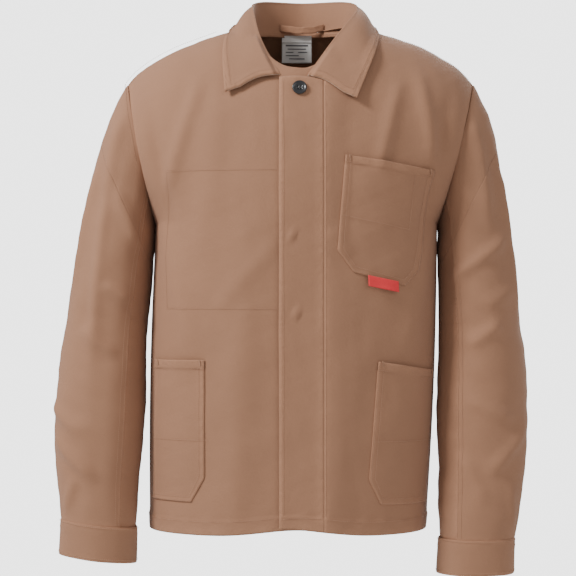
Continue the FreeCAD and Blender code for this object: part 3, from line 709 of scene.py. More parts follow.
def blend_colour(tree, factor, first, second, kind="MIX"):
    """One colour Mix node; colours may be sockets or tuples. Gives its result socket."""
    node = tree.nodes.new("ShaderNodeMix")
    node.data_type = "RGBA"
    node.blend_type = kind
    sockets = (node.inputs["Factor"], node.inputs[6], node.inputs[7])
    for socket, value in zip(sockets, (factor, first, second)):
        if isinstance(value, bpy.types.NodeSocket):
            tree.links.new(value, socket)
        else:
            socket.default_value = value
    return node.outputs[2]


def twill_group():
    """Colour, roughness and height of twill: ribs sin(2 pi (u + 2 v) / pitch), broken by yarn noise."""
    group, given, out = new_group(
        "twill weave",
        [("Colour", "NodeSocketColor", (0.5, 0.5, 0.5, 1)), ("Pitch", "NodeSocketFloat", 0.0013),
         ("Seam", "NodeSocketFloat", 0.0)],
        [("Colour", "NodeSocketColor"), ("Roughness", "NodeSocketFloat"), ("Height", "NodeSocketFloat")])
    uv = group.nodes.new("ShaderNodeUVMap")
    uv.uv_map = "UVMap"
    split = group.nodes.new("ShaderNodeSeparateXYZ")
    group.links.new(uv.outputs["UV"], split.inputs[0])
    jitter = math(group, "MULTIPLY", noise(group, uv.outputs["UV"], 900, 1), 0.0006)
    slant = math(group, "ADD", split.outputs["X"], math(group, "MULTIPLY", split.outputs["Y"], 2.0))
    turns = math(group, "DIVIDE", math(group, "ADD", slant, jitter), given.outputs["Pitch"])
    rib = math(group, "SINE", math(group, "MULTIPLY", turns, 2 * np.pi))
    cross = math(group, "SINE", math(group, "MULTIPLY", math(group, "DIVIDE", split.outputs["X"],
                                                             given.outputs["Pitch"]), 2 * np.pi * 1.7))
    weave = math(group, "ADD", math(group, "MULTIPLY", rib, 0.7), math(group, "MULTIPLY", cross, 0.3))
    yarn = noise(group, uv.outputs["UV"], 420, 2)
    patch = noise(group, uv.outputs["UV"], 9, 4, 0.6)
    wear = noise(group, uv.outputs["UV"], 75, 3, 0.6)
    # the furrows between ribs are darker, as painted shade, and worn edges are paler
    painted_furrow_shade = math(group, "MULTIPLY", math(group, "SUBTRACT", 1.0, weave), 0.035)
    tone = math(group, "ADD", math(group, "MULTIPLY", yarn, 0.16), math(group, "MULTIPLY", patch, 0.17))
    tone = math(group, "SUBTRACT", math(group, "ADD", tone, 0.87), painted_furrow_shade)
    edge = math(group, "MULTIPLY", given.outputs["Seam"], math(group, "MULTIPLY", wear, 0.22))
    tone = math(group, "ADD", tone, edge)
    shade = group.nodes.new("ShaderNodeCombineColor")
    for socket in shade.inputs[:3]:
        group.links.new(tone, socket)
    colour = blend_colour(group, 1.0, given.outputs["Colour"], shade.outputs[0], "MULTIPLY")
    group.links.new(colour, out.inputs["Colour"])
    group.links.new(math(group, "ADD", math(group, "MULTIPLY", yarn, 0.12), 0.76), out.inputs["Roughness"])
    # puckers only show where seams pull
    pull = math(group, "MULTIPLY", math(group, "MULTIPLY", noise(group, uv.outputs["UV"], 130, 1), 2.4),
                given.outputs["Seam"])
    fine = math(group, "ADD", math(group, "MULTIPLY", weave, 0.10), math(group, "MULTIPLY", yarn, 0.35))
    height = math(group, "ADD", math(group, "ADD", fine, pull), math(group, "MULTIPLY", wear, 0.9))
    group.links.new(height, out.inputs["Height"])
    return group


TWILL = twill_group()


def cloth_material(name, colour, pitch=0.0013, sheen=0.06, bump=0.0007):
    """A twill material: the shared weave drives colour, roughness and bump of a Principled BSDF."""
    material = bpy.data.materials.new(name)
    material.use_nodes = True
    tree = material.node_tree
    shader = tree.nodes["Principled BSDF"]
    weave = tree.nodes.new("ShaderNodeGroup")
    weave.node_tree = TWILL
    weave.inputs["Colour"].default_value = colour
    weave.inputs["Pitch"].default_value = pitch
    seam = tree.nodes.new("ShaderNodeAttribute")
    seam.attribute_name = "seam"
    tree.links.new(seam.outputs["Fac"], weave.inputs["Seam"])
    bump_node = tree.nodes.new("ShaderNodeBump")
    bump_node.inputs["Strength"].default_value = 0.75
    bump_node.inputs["Distance"].default_value = bump
    tree.links.new(weave.outputs["Height"], bump_node.inputs["Height"])
    tree.links.new(weave.outputs["Colour"], shader.inputs["Base Color"])
    tree.links.new(weave.outputs["Roughness"], shader.inputs["Roughness"])
    tree.links.new(bump_node.outputs["Normal"], shader.inputs["Normal"])
    shader.inputs["Sheen Weight"].default_value = sheen
    shader.inputs["Sheen Roughness"].default_value = 0.6
    shader.inputs["Specular IOR Level"].default_value = 0.25
    return material


def plain_material(name, colour, roughness, grain, depth, spread=0.12, coat=0.0):
    """A material with fine grain in object space: noise shifts colour, roughness and bump a little."""
    material = bpy.data.materials.new(name)
    material.use_nodes = True
    tree = material.node_tree
    shader = tree.nodes["Principled BSDF"]
    place = tree.nodes.new("ShaderNodeTexCoord").outputs["Object"]
    speck = noise(tree, place, grain, 4, 0.6)
    broad = noise(tree, place, grain / 9, 2)
    tone = math(tree, "ADD", math(tree, "MULTIPLY", math(tree, "ADD", speck, broad), spread), 1 - spread)
    shade = tree.nodes.new("ShaderNodeCombineColor")
    for socket in shade.inputs[:3]:
        tree.links.new(tone, socket)
    tree.links.new(blend_colour(tree, 1.0, colour, shade.outputs[0], "MULTIPLY"), shader.inputs["Base Color"])
    rough = math(tree, "ADD", math(tree, "MULTIPLY", broad, 0.14), roughness - 0.07)
    tree.links.new(rough, shader.inputs["Roughness"])
    bump_node = tree.nodes.new("ShaderNodeBump")
    bump_node.inputs["Distance"].default_value = depth
    tree.links.new(speck, bump_node.inputs["Height"])
    tree.links.new(bump_node.outputs["Normal"], shader.inputs["Normal"])
    shader.inputs["Coat Weight"].default_value = coat
    shader.inputs["Coat Roughness"].default_value = 0.25
    return material


TWILL_OUT = cloth_material("khaki twill", (0.300, 0.150, 0.086, 1))
# the inside is the same twill in a darker colour: painted shade
TWILL_IN_PAINTED_SHADE = cloth_material("khaki twill inside", (0.235, 0.115, 0.062, 1), sheen=0.05)
LINEN = cloth_material("interlining", (0.50, 0.42, 0.34, 1), pitch=0.0009)
THREAD = plain_material("sewing thread", (0.375, 0.200, 0.120, 1), 0.7, 2600, 0.00005)
THREAD_DARK = plain_material("button thread", (0.05, 0.04, 0.035, 1), 0.7, 2600, 0.00005)
HORN = plain_material("black button", (0.010, 0.0095, 0.011, 1), 0.34, 900, 0.00004, spread=0.3, coat=0.25)
WHITE_LABEL = cloth_material("grey label", (0.52, 0.51, 0.49, 1), pitch=0.0006, sheen=0.0, bump=0.0002)
LABEL_MARK = plain_material("label mark", (0.09, 0.09, 0.10, 1), 0.7, 1500, 0.00004)
RED_LABEL = cloth_material("red label", (0.62, 0.035, 0.040, 1), pitch=0.0007, sheen=0.05, bump=0.0003)
print("materials:", [material.name for material in bpy.data.materials][:12])

# %% [markdown]
# ## Stitching
# A seam is real thread: short rounded dashes that lie just above the cloth, with gaps where the thread
# dips through. A stitch line here is a list of points on a shape; it is measured along its length, cut
# into dashes, and every dash becomes a six-sided lozenge. All dashes of a line group form one mesh.


# %% Thread along a line
def spaced(points, pitch):
    """Points at even distances along a line of points, with the unit direction at each."""
    run = np.concatenate([[0], np.cumsum(np.linalg.norm(np.diff(points, axis=0), axis=1))])
    count = max(2, int(round(run[-1] / pitch)))
    at = (np.arange(count) + 0.5) * run[-1] / count
    place = np.stack([np.interp(at, run, points[:, k]) for k in range(3)], axis=1)
    ahead = np.stack([np.interp(at + pitch * 0.3, run, points[:, k]) for k in range(3)], axis=1)
    behind = np.stack([np.interp(at - pitch * 0.3, run, points[:, k]) for k in range(3)], axis=1)
    return place, unit(ahead - behind), at


def dashes(line, outward, pitch=0.0030, long=0.0023, thick=0.00062):
    """Lozenges along a line: a ring of four corners at three stations, and a point at each end.

    Station s at -1/3, 0 and 1/3 of the length has radius thick / 2 * (1 - 1.5 s^2).
    """
    place, along, at = spaced(line, pitch)
    run = np.concatenate([[0], np.cumsum(np.linalg.norm(np.diff(line, axis=0), axis=1))])
    up = unit(np.stack([np.interp(at, run, outward[:, k]) for k in range(3)], axis=1))
    side = unit(np.cross(along, up))
    up = np.cross(side, along)
    rng = np.random.default_rng(len(line))
    place = place + side * rng.normal(0, 0.00009, (len(place), 1))
    rings = []
    for station in (-0.36, 0.0, 0.36):
        radius = thick / 2 * (1 - 1.5 * station ** 2)
        for angle in (0, 90, 180, 270):
            turned = np.radians(angle)
            rings.append(place + along * long * station
                         + side * radius * np.cos(turned) + up * radius * np.sin(turned))
    rings.append(place - along * long * 0.5 - up * thick * 0.4)
    rings.append(place + along * long * 0.5 - up * thick * 0.4)
    points = np.stack(rings, axis=1)
    faces = []
    for row in (0, 4):
        for k in range(4):
            faces.append([row + k, row + (k + 1) % 4, row + 4 + (k + 1) % 4, row + 4 + k])
    for k in range(4):
        faces.append([12, (k + 1) % 4, k, -1])
        faces.append([13, 8 + k, 8 + (k + 1) % 4, -1])
    return points, np.array(faces)


def stitching(name, lines, material, **kind):
    """One mesh of thread from (line, outward) pairs."""
    corners, polygons, base = [], [], 0
    for line, outward in lines:
        points, faces = dashes(np.asarray(line), np.asarray(outward), **kind)
        count, each = points.shape[:2]
        shifted = faces[None] + (np.arange(count) * each)[:, None, None]
        shifted = np.where(faces[None] < 0, -1, shifted + base)
        corners.append(points.reshape(-1, 3))
        polygons.append(shifted.reshape(-1, 4))
        base += count * each
    polygons = np.concatenate(polygons)
    listed = [face[:3] if face[3] < 0 else face for face in polygons.tolist()]
    mesh = bpy.data.meshes.new(name)
    mesh.from_pydata(np.concatenate(corners).tolist(), [], listed)
    mesh.shade_smooth()
    return place_in_scene(name, mesh, material)


def on_front(line, lift, placket=True):
    """A line on the draped front, lift above the cloth, with its outward directions."""
    turn, level = locate(*line)
    return skin(turn, level, -1, lift, placket=placket), normals_of(body, turn, level, -1)


def straight(start, end, step=0.004):
    """x and z values along a straight line between two (x, z) points."""
    count = max(2, int(np.hypot(end[0] - start[0], end[1] - start[1]) / step))
    return np.linspace(start[0], end[0], count), np.linspace(start[1], end[1], count)


def corner_path(points, step=0.004):
    """x and z values along a run of straight lines through (x, z) points."""
    pairs = [straight(points[k], points[k + 1], step) for k in range(len(points) - 1)]
    return np.concatenate([pair[0] for pair in pairs]), np.concatenate([pair[1] for pair in pairs])


print("stitch helper ready")


# %% [markdown]
# ## The body panels
# Each panel is a grid whose rows run from the hem up to the shoulder seam. Its side edges are given as a
# distance from the centre, so the turn is found for every row. The neck is an upright oval cut through the
# rows: quads wholly inside it are dropped, and the corners of the rest slide out to its edge.

# %% Panel builder
NECK_CENTRE = -0.020
NECK_HALF = 0.079
NECK_DEEP = 0.088


def turn_for(x, level, face):
    """The turn at which the undraped row of this level is x from the centre."""
    turn = np.broadcast_to(np.arcsin(np.clip(np.asarray(x) / 0.235, -0.98, 0.98)), np.shape(level)).copy()
    for _ in range(20):
        now = body(turn, level, face)[..., 0]
        slope = (body(turn + 1e-3, level, face)[..., 0] - now) / 1e-3
        turn = np.clip(turn + (x - now) / np.maximum(slope, 0.02), -np.pi / 2, np.pi / 2)
    return turn


def levels(count, low=-1.0, high=1.0):
    """Levels from the hem up, closer together at the hem and its stitch line."""
    even = np.linspace(low, high, count)
    if low > -1:
        return even
    return np.unique(np.concatenate([even, -1 + np.array([0.006, 0.014, 0.02, 0.034, 0.04, 0.046, 0.055])]))


def panel_points(face, start, end, rows, columns, lift=0.0, placket=True, folds=1.0):
    """A grid on the draped body. start and end are turns in radians, or distances from the centre line.

    """
    level = rows[:, None]
    share = np.linspace(0, 1, columns)[None]
    first = start * np.ones_like(level) if abs(start) > 1 else turn_for(start, level, face)
    last = end * np.ones_like(level) if abs(end) > 1 else turn_for(end, level, face)
    turn = mix(first, last, share)
    return skin(turn, level, face, lift, folds, placket), turn, level


def hem_band(rows, turn):
    """The turned-up hem is three layers of cloth: a low step up to the hem's stitch line, then flat."""
    drop = (rows[:, None] + 1) * abs(HEM - UNDERARM)
    step = smooth(HEM_STITCH + 0.003, HEM_STITCH, drop)
    roll = np.exp(-((drop - 0.0015) / 0.0025) ** 2)
    pucker = 0.0005 * np.sin(turn * 0.21 / 0.0052) * np.exp(-((drop - 0.021) / 0.006) ** 2)
    return 0.0011 * step - 0.0006 * roll + pucker


def panel(name, points, material, inner=None, thickness=CLOTH, flip=False, neck=False, offset=-1.0):
    """A panel of cloth, with its neck cut if asked, and another material on its inner side."""
    if flip:
        points = points[:, ::-1]
    uv = metric_uv(points)
    seam = edge_marks(lengths(points, 1), lengths(points, 0), 0.016)
    mesh = grid_mesh(name, points, uv, seam)
    if neck:
        cut_neck(mesh)
    piece = thicken(place_in_scene(name, mesh, material), thickness, offset)
    # the inner side gets the darker twill, painted shade on the cloth's inside
    if inner:
        mesh.materials.append(inner)
        piece.modifiers["thickness"].material_offset = 1
        piece.modifiers["thickness"].material_offset_rim = 0
    return piece


def cut_neck(mesh):
    """Drops the quads inside the neck oval; each corner left inside slides out to the oval's edge."""
    points = np.empty(len(mesh.vertices) * 3)
    mesh.vertices.foreach_get("co", points)
    points = points.reshape(-1, 3)
    reach = np.hypot(points[:, 0] / NECK_HALF, (points[:, 1] - NECK_CENTRE) / NECK_DEEP)
    inside = (reach < 1) & (points[:, 2] > -0.15)
    quads = np.empty(len(mesh.polygons) * 4, int)
    mesh.polygons.foreach_get("vertices", quads)
    quads = quads.reshape(-1, 4)
    gone = inside[quads].all(axis=1)
    slid = points.copy()
    nearest = {}
    for quad in quads[~gone & inside[quads].any(axis=1)]:
        for here in quad[inside[quad]]:
            for there in quad[~inside[quad]]:
                gap = np.linalg.norm(points[there] - points[here])
                if gap < nearest.get(here, np.inf):
                    nearest[here] = gap
                    share = (1 - reach[here]) / (reach[there] - reach[here])
                    slid[here] = mix(points[here], points[there], share)
    mesh.vertices.foreach_set("co", slid.reshape(-1))
    work = bmesh.new()
    work.from_mesh(mesh)
    work.faces.ensure_lookup_table()
    bmesh.ops.delete(work, geom=[work.faces[k] for k in np.flatnonzero(gone)], context="FACES")
    work.to_mesh(mesh)
    work.free()


back_rows = levels(150)
points, turn, level = panel_points(1, -np.pi / 2, np.pi / 2, back_rows, 141)
points = skin(turn, level, 1, hem_band(back_rows, turn))
back = panel("back", points, TWILL_OUT, TWILL_IN_PAINTED_SHADE, flip=True, neck=True)
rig.ride(back, "torso")
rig.replaces(back, "back_panel")

front_rows = levels(150)
points, turn, level = panel_points(-1, FLY_STITCH, np.pi / 2, front_rows, 81)
points = skin(turn, level, -1, hem_band(front_rows, turn))
left_front = panel("left front", points, TWILL_OUT, TWILL_IN_PAINTED_SHADE, neck=True)
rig.ride(left_front, "torso")
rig.replaces(left_front, "left_front_panel")

points, turn, level = panel_points(-1, -np.pi / 2, 0.031, front_rows, 101)
points = skin(turn, level, -1, hem_band(front_rows, turn), placket=False)
right_front = panel("right front", points, TWILL_OUT, TWILL_IN_PAINTED_SHADE, neck=True)
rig.ride(right_front, "torso")
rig.replaces(right_front, "right_front_panel")
print("panels:", [len(piece.data.polygons) for piece in (back, left_front, right_front)])

# %% [markdown]
# ## Facings and the fly
# The front edges are faced inside. On the wearer's left the edge is a fly: an outer flap, and a strip with
# the buttonholes behind it, both held by the stitch line. Below the top button they can swing out together
# to show the buttons, so those two sheets bend between the torso and the front band.

# %% Facings and fly
FLY_TOP = -0.092
facing_rows = levels(110, -0.995, 0.62)
for name, start, end, hidden, behind in (("left facing", 0.039, 0.105, "left_front_facing", True),
                                         ("right facing", -0.038, 0.030, "right_front_facing", False)):
    points, turn, level = panel_points(-1, start, end, facing_rows, 31, -0.0021, placket=behind)
    # facings sit inside the jacket and get the darker twill, painted shade
    facing = panel(name, points, TWILL_IN_PAINTED_SHADE, thickness=0.0009, neck=True)
    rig.ride(facing, "torso")
    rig.replaces(facing, hidden)


def fly_layer(name, start, lift, material, thickness, *hidden):
    """One sheet of the fly, from its free edge to the stitch line, bending between torso and band."""
    top = float(locate(0.0, FLY_TOP)[1])
    rows = levels(150, -1.0, top)
    level = rows[:, None]
    share = np.linspace(0, 1, 25)[None] ** 0.8
    turn = mix(turn_for(start, level, -1), turn_for(FLY_STITCH, level, -1), share)
    free = (1 - share) ** 2
    sway = 0.0007 * ripple(level * 0.45, turn * 0.1, 71, 0.11) * free
    edge = -0.0008 * np.exp(-(share / 0.035) ** 2)
    points = skin(turn, level, -1, lift + sway + edge + hem_band(rows, turn))
    points[..., 0] += 0.0009 * ripple(level * 0.45, 0 * turn, 73, 0.16) * free
    points[..., 2] += 0.004 * free * smooth(-0.9, -1.0, level)
    # the fly's inner side gets the darker twill, painted shade
    piece = panel(name, points, material, TWILL_IN_PAINTED_SHADE, thickness)
    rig.blend(piece, "torso", "front_band", (0.0, -0.15, -0.125), (0.0, -0.15, -0.255))
    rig.replaces(piece, *hidden)
    return piece


fly = fly_layer("fly flap", FLY_EDGE, 0.0, TWILL_OUT, CLOTH, "fly_flap", "fly_flap_top")
# the strip behind the fly gets the darker twill, painted shade
strip = fly_layer("buttonhole strip", FLY_EDGE + 0.006, -0.0017, TWILL_IN_PAINTED_SHADE, 0.0009,
                  "buttonhole_strip", "buttonhole_strip_top")
print("fly:", len(fly.data.vertices), "vertices, strip:", len(strip.data.vertices))

# %% [markdown]
# ## Patch pockets
# A patch pocket is a sheet laid on the front, sewn down on three sides and open on top. The outline is
# given by two side lines; rows of points run between them. The sheet stands 1.4 mm off the front, sinks to
# its turned edges, and gapes a little along the mouth.


# %% Pockets
def along_line(points, marks, share):
    """x and z on a broken line through the points, which it passes at the marks."""
    points = np.array(points, float)
    return np.interp(share, marks, points[:, 0]), np.interp(share, marks, points[:, 1])


def pocket(name, inner, outer, marks, hidden, lift=0.0017, gape=0.004, placket=True, inside=False,
           count=(60, 50)):
    """A patch between two side lines, from its mouth (share 0) to its lower edge (share 1)."""
    share = np.unique(np.concatenate([np.linspace(0, 1, count[0]), np.array([0.01, 0.05, 0.06, 0.99])]))
    ix, iz = along_line(inner, marks, share)
    ox, oz = along_line(outer, marks, share)
    across = np.linspace(0, 1, count[1])
    across = across + 0.012 * np.sin(2 * np.pi * across)
    x, z = mix(ix[:, None], ox[:, None], across), mix(iz[:, None], oz[:, None], across)
    turn, level = locate(x, z)
    down = share[:, None]
    border = np.minimum(np.minimum(across, 1 - across) * 0.12, (1 - down) * 0.18)
    sink = -0.0007 * smooth(0.0022, 0.0, border)
    mouth = gape * np.sin(np.pi * across) ** 1.6 * (1 - down) ** 7
    soft = 0.0014 * ripple(x, z, 81, 0.07) * smooth(0.0, 0.03, border)
    hem = 0.0009 * smooth(0.066, 0.060, down) if not inside else 0
    points = skin(turn, level, -1, lift + sink + mouth + soft * (not inside) + hem, placket=placket)
    flip = outer[0][0] > inner[0][0]
    # the inside pocket and every pocket's inner side get the darker twill, painted shade
    piece = panel(name, points, TWILL_IN_PAINTED_SHADE if inside else TWILL_OUT, TWILL_IN_PAINTED_SHADE, 0.0011, flip=flip)
    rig.ride(piece, "torso")
    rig.replaces(piece, hidden)
    return piece


CHEST_IN = [(0.068, -0.205), (0.056, -0.341), (0.080, -0.373)]
CHEST_OUT = [(0.198, -0.225), (0.173, -0.370), (0.154, -0.392)]
LEFT_IN = [(0.1155, -0.500), (0.102, -0.670), (0.119, -0.706)]
LEFT_OUT = [(0.2000, -0.515), (0.191, -0.672), (0.189, -0.709)]
RIGHT_IN = [(-0.1325, -0.498), (-0.1325, -0.667), (-0.1530, -0.703)]
RIGHT_OUT = [(-0.2080, -0.499), (-0.2110, -0.668), (-0.2120, -0.704)]
pocket("chest pocket", CHEST_IN, CHEST_OUT, (0, 0.84, 1), "chest_pocket")
pocket("left lower pocket", LEFT_IN, LEFT_OUT, (0, 0.84, 1), "left_lower_pocket", gape=0.003)
pocket("right lower pocket", RIGHT_IN, RIGHT_OUT, (0, 0.84, 1), "right_lower_pocket", gape=0.003,
       placket=False)
pocket("inner pocket", [(-0.046, -0.229), (-0.046, -0.400), (-0.060, -0.423)],
       [(-0.178, -0.229), (-0.178, -0.400), (-0.164, -0.423)], (0, 0.86, 1), "inner_pocket",
       lift=-0.0036, gape=-0.002, placket=False, inside=True)
print("pockets placed")

# %% [markdown]
# ## The sleeves
# Two tubes a side. The sleeve head bends between the torso and the sleeve, and its rim lies exactly on the
# armhole. The rest bends between the sleeve and the forearm across the elbow. Both tubes meet at one ring
# of shared points, so the join can't be seen. The upper half of a two-piece sleeve laps over the lower half
# along a front and a back seam, which is a 1 mm step in the tube.

# %% Sleeves
FRONT_SEAM, BACK_SEAM = np.radians(52), np.radians(292)
SPLIT = 0.42


def lap(turn, depth=0.0012):
    """The step of the lapped seams: the top half of the sleeve lies over the under half."""
    around = np.mod(turn, 2 * np.pi)
    return depth * smooth(FRONT_SEAM - 0.012, FRONT_SEAM + 0.012, around) \
        * smooth(BACK_SEAM + 0.012, BACK_SEAM - 0.012, around)


def sleeve_turns(count=116):
    """Angles round the sleeve, with extra columns at the two seams."""
    even = np.linspace(0, 2 * np.pi, count, endpoint=False)
    extra = [seam + offset for seam in (FRONT_SEAM, BACK_SEAM) for offset in (-0.03, -0.014, 0, 0.014, 0.03)]
    return np.unique(np.concatenate([even, extra]))


def sleeve_tube(name, side, shares, hidden, bodies, start, end):
    """A closed tube of the sleeve between the given shares, blending between two bodies."""
    turns = sleeve_turns()[None]
    share = shares[:, None]
    lift = lap(turns) * smooth(0.0, 0.05, share)
    points = sleeve_skin(turns, share, side, lift)
    marks = np.exp(-((turns - FRONT_SEAM) / 0.10) ** 2) + np.exp(-((turns - BACK_SEAM) / 0.10) ** 2)
    ends = smooth(0.07, 0.0, share) + smooth(1.94, 2.0, share)
    seam = np.clip(marks + ends, 0, 1)
    piece = cloth(name, points, TWILL_OUT, closed=True, seam=seam, flip=side > 0)
    # the sleeve's inner face gets the darker twill, painted shade
    piece.data.materials.append(TWILL_IN_PAINTED_SHADE)
    piece.modifiers["thickness"].material_offset = 1
    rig.blend(piece, *bodies, start, end)
    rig.replaces(piece, *hidden)
    return piece


def sleeve_bends(side, word):
    """Where a sleeve bends: (bodies, start, end) at the armhole and at the elbow."""
    rim = np.array([side * 0.2318, -0.004, -0.196])
    outward = np.array([side * np.cos(np.radians(13)), 0, -np.sin(np.radians(13))])
    sewn, free = ((sleeve_skin(sleeve_turns()[None], np.array([[share]]), side) - rim) @ outward
                  for share in (0.02, SPLIT))
    start, end = tuple(rim + outward * sewn.max()), tuple(rim + outward * free.min())
    shoulder = (("torso", f"{word}_sleeve"), start, end)
    elbow = ((f"{word}_sleeve", f"{word}_forearm"), (0, 0, -0.366), (0, 0, -0.57))
    return shoulder, elbow


head_shares = np.concatenate([[0, 0.008, 0.02, 0.035], np.linspace(0.05, SPLIT, 60)])
arm_shares = np.unique(np.concatenate([np.linspace(SPLIT, 2.0, 150), [1.985, 1.992]]))
sleeve_pieces = {}
for side, word in ((1, "left"), (-1, "right")):
    shoulder, elbow = sleeve_bends(side, word)
    sleeve_pieces[word] = (
        sleeve_tube(f"{word} sleeve head", side, head_shares, [f"{word}_under_sleeve"], *shoulder),
        sleeve_tube(f"{word} sleeve", side, arm_shares,
                    [f"{word}_top_sleeve", f"{word}_top_forearm", f"{word}_under_forearm"], *elbow))
print("sleeves:", [[len(piece.data.polygons) for piece in pair] for pair in sleeve_pieces.values()])

# %% [markdown]
# ## Cuffs
# A cuff is a band sewn over the gathered sleeve end, a little stiffer than the sleeve. It closes with one
# small button at the back, beside a bound slit. The band is the sleeve's last ring led straight down.


# %% Cuffs
def cuff_point(turn, drop, side, lift=0.0):
    """The cuff: the sleeve's end ring, drop 0 at its seam and 1 at its lower edge, lift outside it."""
    turn, drop = np.broadcast_arrays(np.asarray(turn, float), np.asarray(drop, float))
    ring = sleeve(turn, 2.0 + 0 * turn, side)
    ahead = sleeve(turn + 1e-3, 2.0 + 0 * turn, side) - ring
    out = unit(np.cross(ahead, np.array([0, 0, side])))
    long = CUFF_SEAM - CUFF_END
    wave = 0.0012 * np.sin(2 * turn + 0.6) + 0.0007 * np.sin(5 * turn + 1.1 + side)
    points = ring + out * (lift + wave * (0.3 + drop))[..., None]
    points[..., 2] -= long * (drop - 0.02)
    if side < 0:
        points[..., 2] += raised(points[..., 0], 2.0)
    return hang(points)


for side, word in ((1, "left"), (-1, "right")):
    turns = np.linspace(0, 2 * np.pi, 120, endpoint=False)[None]
    drops = np.array([-0.14, -0.13, -0.10, -0.06, 0, 0.1, 0.22, 0.35, 0.5, 0.65, 0.78, 0.86, 0.9, 0.95,
                      0.985, 1.0])[:, None]
    layers = 0.0032 + 0.0006 * np.exp(-((drops - 0.07) / 0.05) ** 2) - 0.0006 * smooth(0.96, 1.0, drops)
    waver = 0.0005 * ripple(turns * 0.06, drops * 0.04, 91, 0.04)
    layers = layers - 0.0008 * smooth(-0.10, -0.14, drops) + waver
    points = cuff_point(turns, drops, side, layers)
    marks = np.clip(smooth(0.05, -0.14, drops) + smooth(0.8, 1.0, drops), 0, 1) * np.ones_like(turns)
    cuff = cloth(f"{word} cuff", points, TWILL_OUT, thickness=0.0020, closed=True, seam=marks, flip=side > 0)
    # the cuff's inner face gets the darker twill, painted shade
    cuff.data.materials.append(TWILL_IN_PAINTED_SHADE)
    cuff.modifiers["thickness"].material_offset = 1
    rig.ride(cuff, f"{word}_forearm")
    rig.replaces(cuff, f"{word}_cuff")
    # the bound slit above the cuff, at the back of the arm
    slit_turn = np.linspace(np.radians(246), np.radians(264), 9)[None]
    slit_share = np.linspace(1.71, 1.985, 40)[:, None]
    borders = np.abs(slit_turn - np.radians(255)) > 0.15
    points = sleeve_skin(slit_turn, slit_share, side, 0.0024 - 0.0010 * borders)
    binding = cloth(f"{word} vent binding", points, TWILL_OUT, thickness=0.0010, flip=side > 0)
    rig.ride(binding, f"{word}_forearm")
    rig.replaces(binding, f"{word}_vent_binding")
print("cuffs placed")

# %% [markdown]
# ## The collar
# The upper collar is one sheet that starts at the neck seam, stands, folds over and falls to its outer
# edge. The under collar and a stiff interlining follow it 1 mm and 2 mm behind. Rows are closer together
# at the fold, where the sheet turns sharply, and at the outer edge, whose seam is rolled.

# %% Collar
fold_rows = np.unique(np.concatenate([np.linspace(-1, -0.12, 18), np.linspace(-0.12, 0.12, 13),
                                      np.linspace(0.12, 0.93, 26), [0.95, 0.965, 0.98, 0.99, 1.0]]))
for name, low, high, lift, thickness, material, hidden in (
        ("upper collar", -1.0, 1.0, 0.0, 0.0010, TWILL_OUT, "upper_collar"),
        ("collar interlining", -0.9, 0.96, -0.0012, 0.0004, LINEN, "collar_interlining"),
        ("under collar", -0.98, 0.992, -0.0019, 0.0010, TWILL_OUT, "under_collar")):
    rows = fold_rows[(fold_rows >= low) & (fold_rows <= high)][:, None]
    share = np.linspace(0, 1, 121)[None]
    margin = np.minimum(np.minimum(share, 1 - share) * 0.42, (1 - rows) * 0.055)
    roll = 0.0004 * np.exp(-((margin - 0.0055) / 0.0016) ** 2) - 0.0006 * smooth(0.0018, 0.0, margin)
    points = collar_skin(share, rows, lift + roll * (name == "upper collar"))
    piece = panel(name, points, material, thickness=thickness)
    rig.ride(piece, "torso")
    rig.replaces(piece, hidden)
print("collar fold at the back:", np.round(collar_skin(0.5, 0.0), 3))

# %% [markdown]
# ## Labels and the hanger loop
# Inside the neck are a hanging loop and woven labels; a small red flag label is sewn under the chest
# pocket. A loop is a folded strip: its path is an arc that stands off the collar, and the strip's width is
# upright. Label marks are plain bars in place of any text.

# %% Loop and labels
NECK_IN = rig.box("neck_label")[0][1]
LABEL_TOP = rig.box("neck_label")[1][2]
LABEL_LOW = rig.box("neck_label")[0][2]
LOOP_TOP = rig.box("hanger_loop")[1][2]
LOOP_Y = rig.box("hanger_loop")[1][1]

across = np.linspace(-1, 1, 61)[None]
up = np.linspace(0, 1, 9)[:, None]
bulge = 1 - across ** 2
points = stack(across * 0.033 + 0.008, LOOP_Y - 0.0015 - 0.0055 * bulge,
               LOOP_TOP - 0.0102 * (1 - up) - 0.0050 * bulge + 0.0004 * np.sin(9 * across))
loop = panel("hanger loop", points, TWILL_OUT, thickness=0.0012, offset=0)
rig.ride(loop, "loop")
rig.replaces(loop, "hanger_loop")


def woven_label(name, low, high, y, material, body_name, hidden, seed):
    """A flat woven label between two (x, z) corners at depth y, curling a little at its lower corners."""
    u, v = np.linspace(0, 1, 25)[None], np.linspace(0, 1, 21)[:, None]
    curl = 0.0016 * (1 - v) ** 3 * (np.abs(2 * u - 1) ** 3) + 0.0004 * ripple(u * 0.04, v * 0.03, seed, 0.03)
    points = stack(mix(low[0], high[0], u), y - curl * (1 - v), mix(low[1], high[1], v))
    piece = panel(name, points, material, thickness=0.0004, offset=0)
    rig.ride(piece, body_name)
    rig.replaces(piece, hidden)
    return piece


def bars(name, spots, y, material, body_name):
    """Printed marks: thin raised bars, each given as (x, z, width, height), lying on depth y."""
    corners, faces = [], []
    for x, z, wide, high in spots:
        base = len(corners)
        corners += [(x, y, z), (x + wide, y, z), (x + wide, y, z + high), (x, y, z + high)]
        faces.append([base, base + 1, base + 2, base + 3])
    mesh = bpy.data.meshes.new(name)
    mesh.from_pydata(corners, [], faces)
    piece = thicken(place_in_scene(name, mesh, material), 0.0003, -1)
    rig.ride(piece, body_name)
    return piece


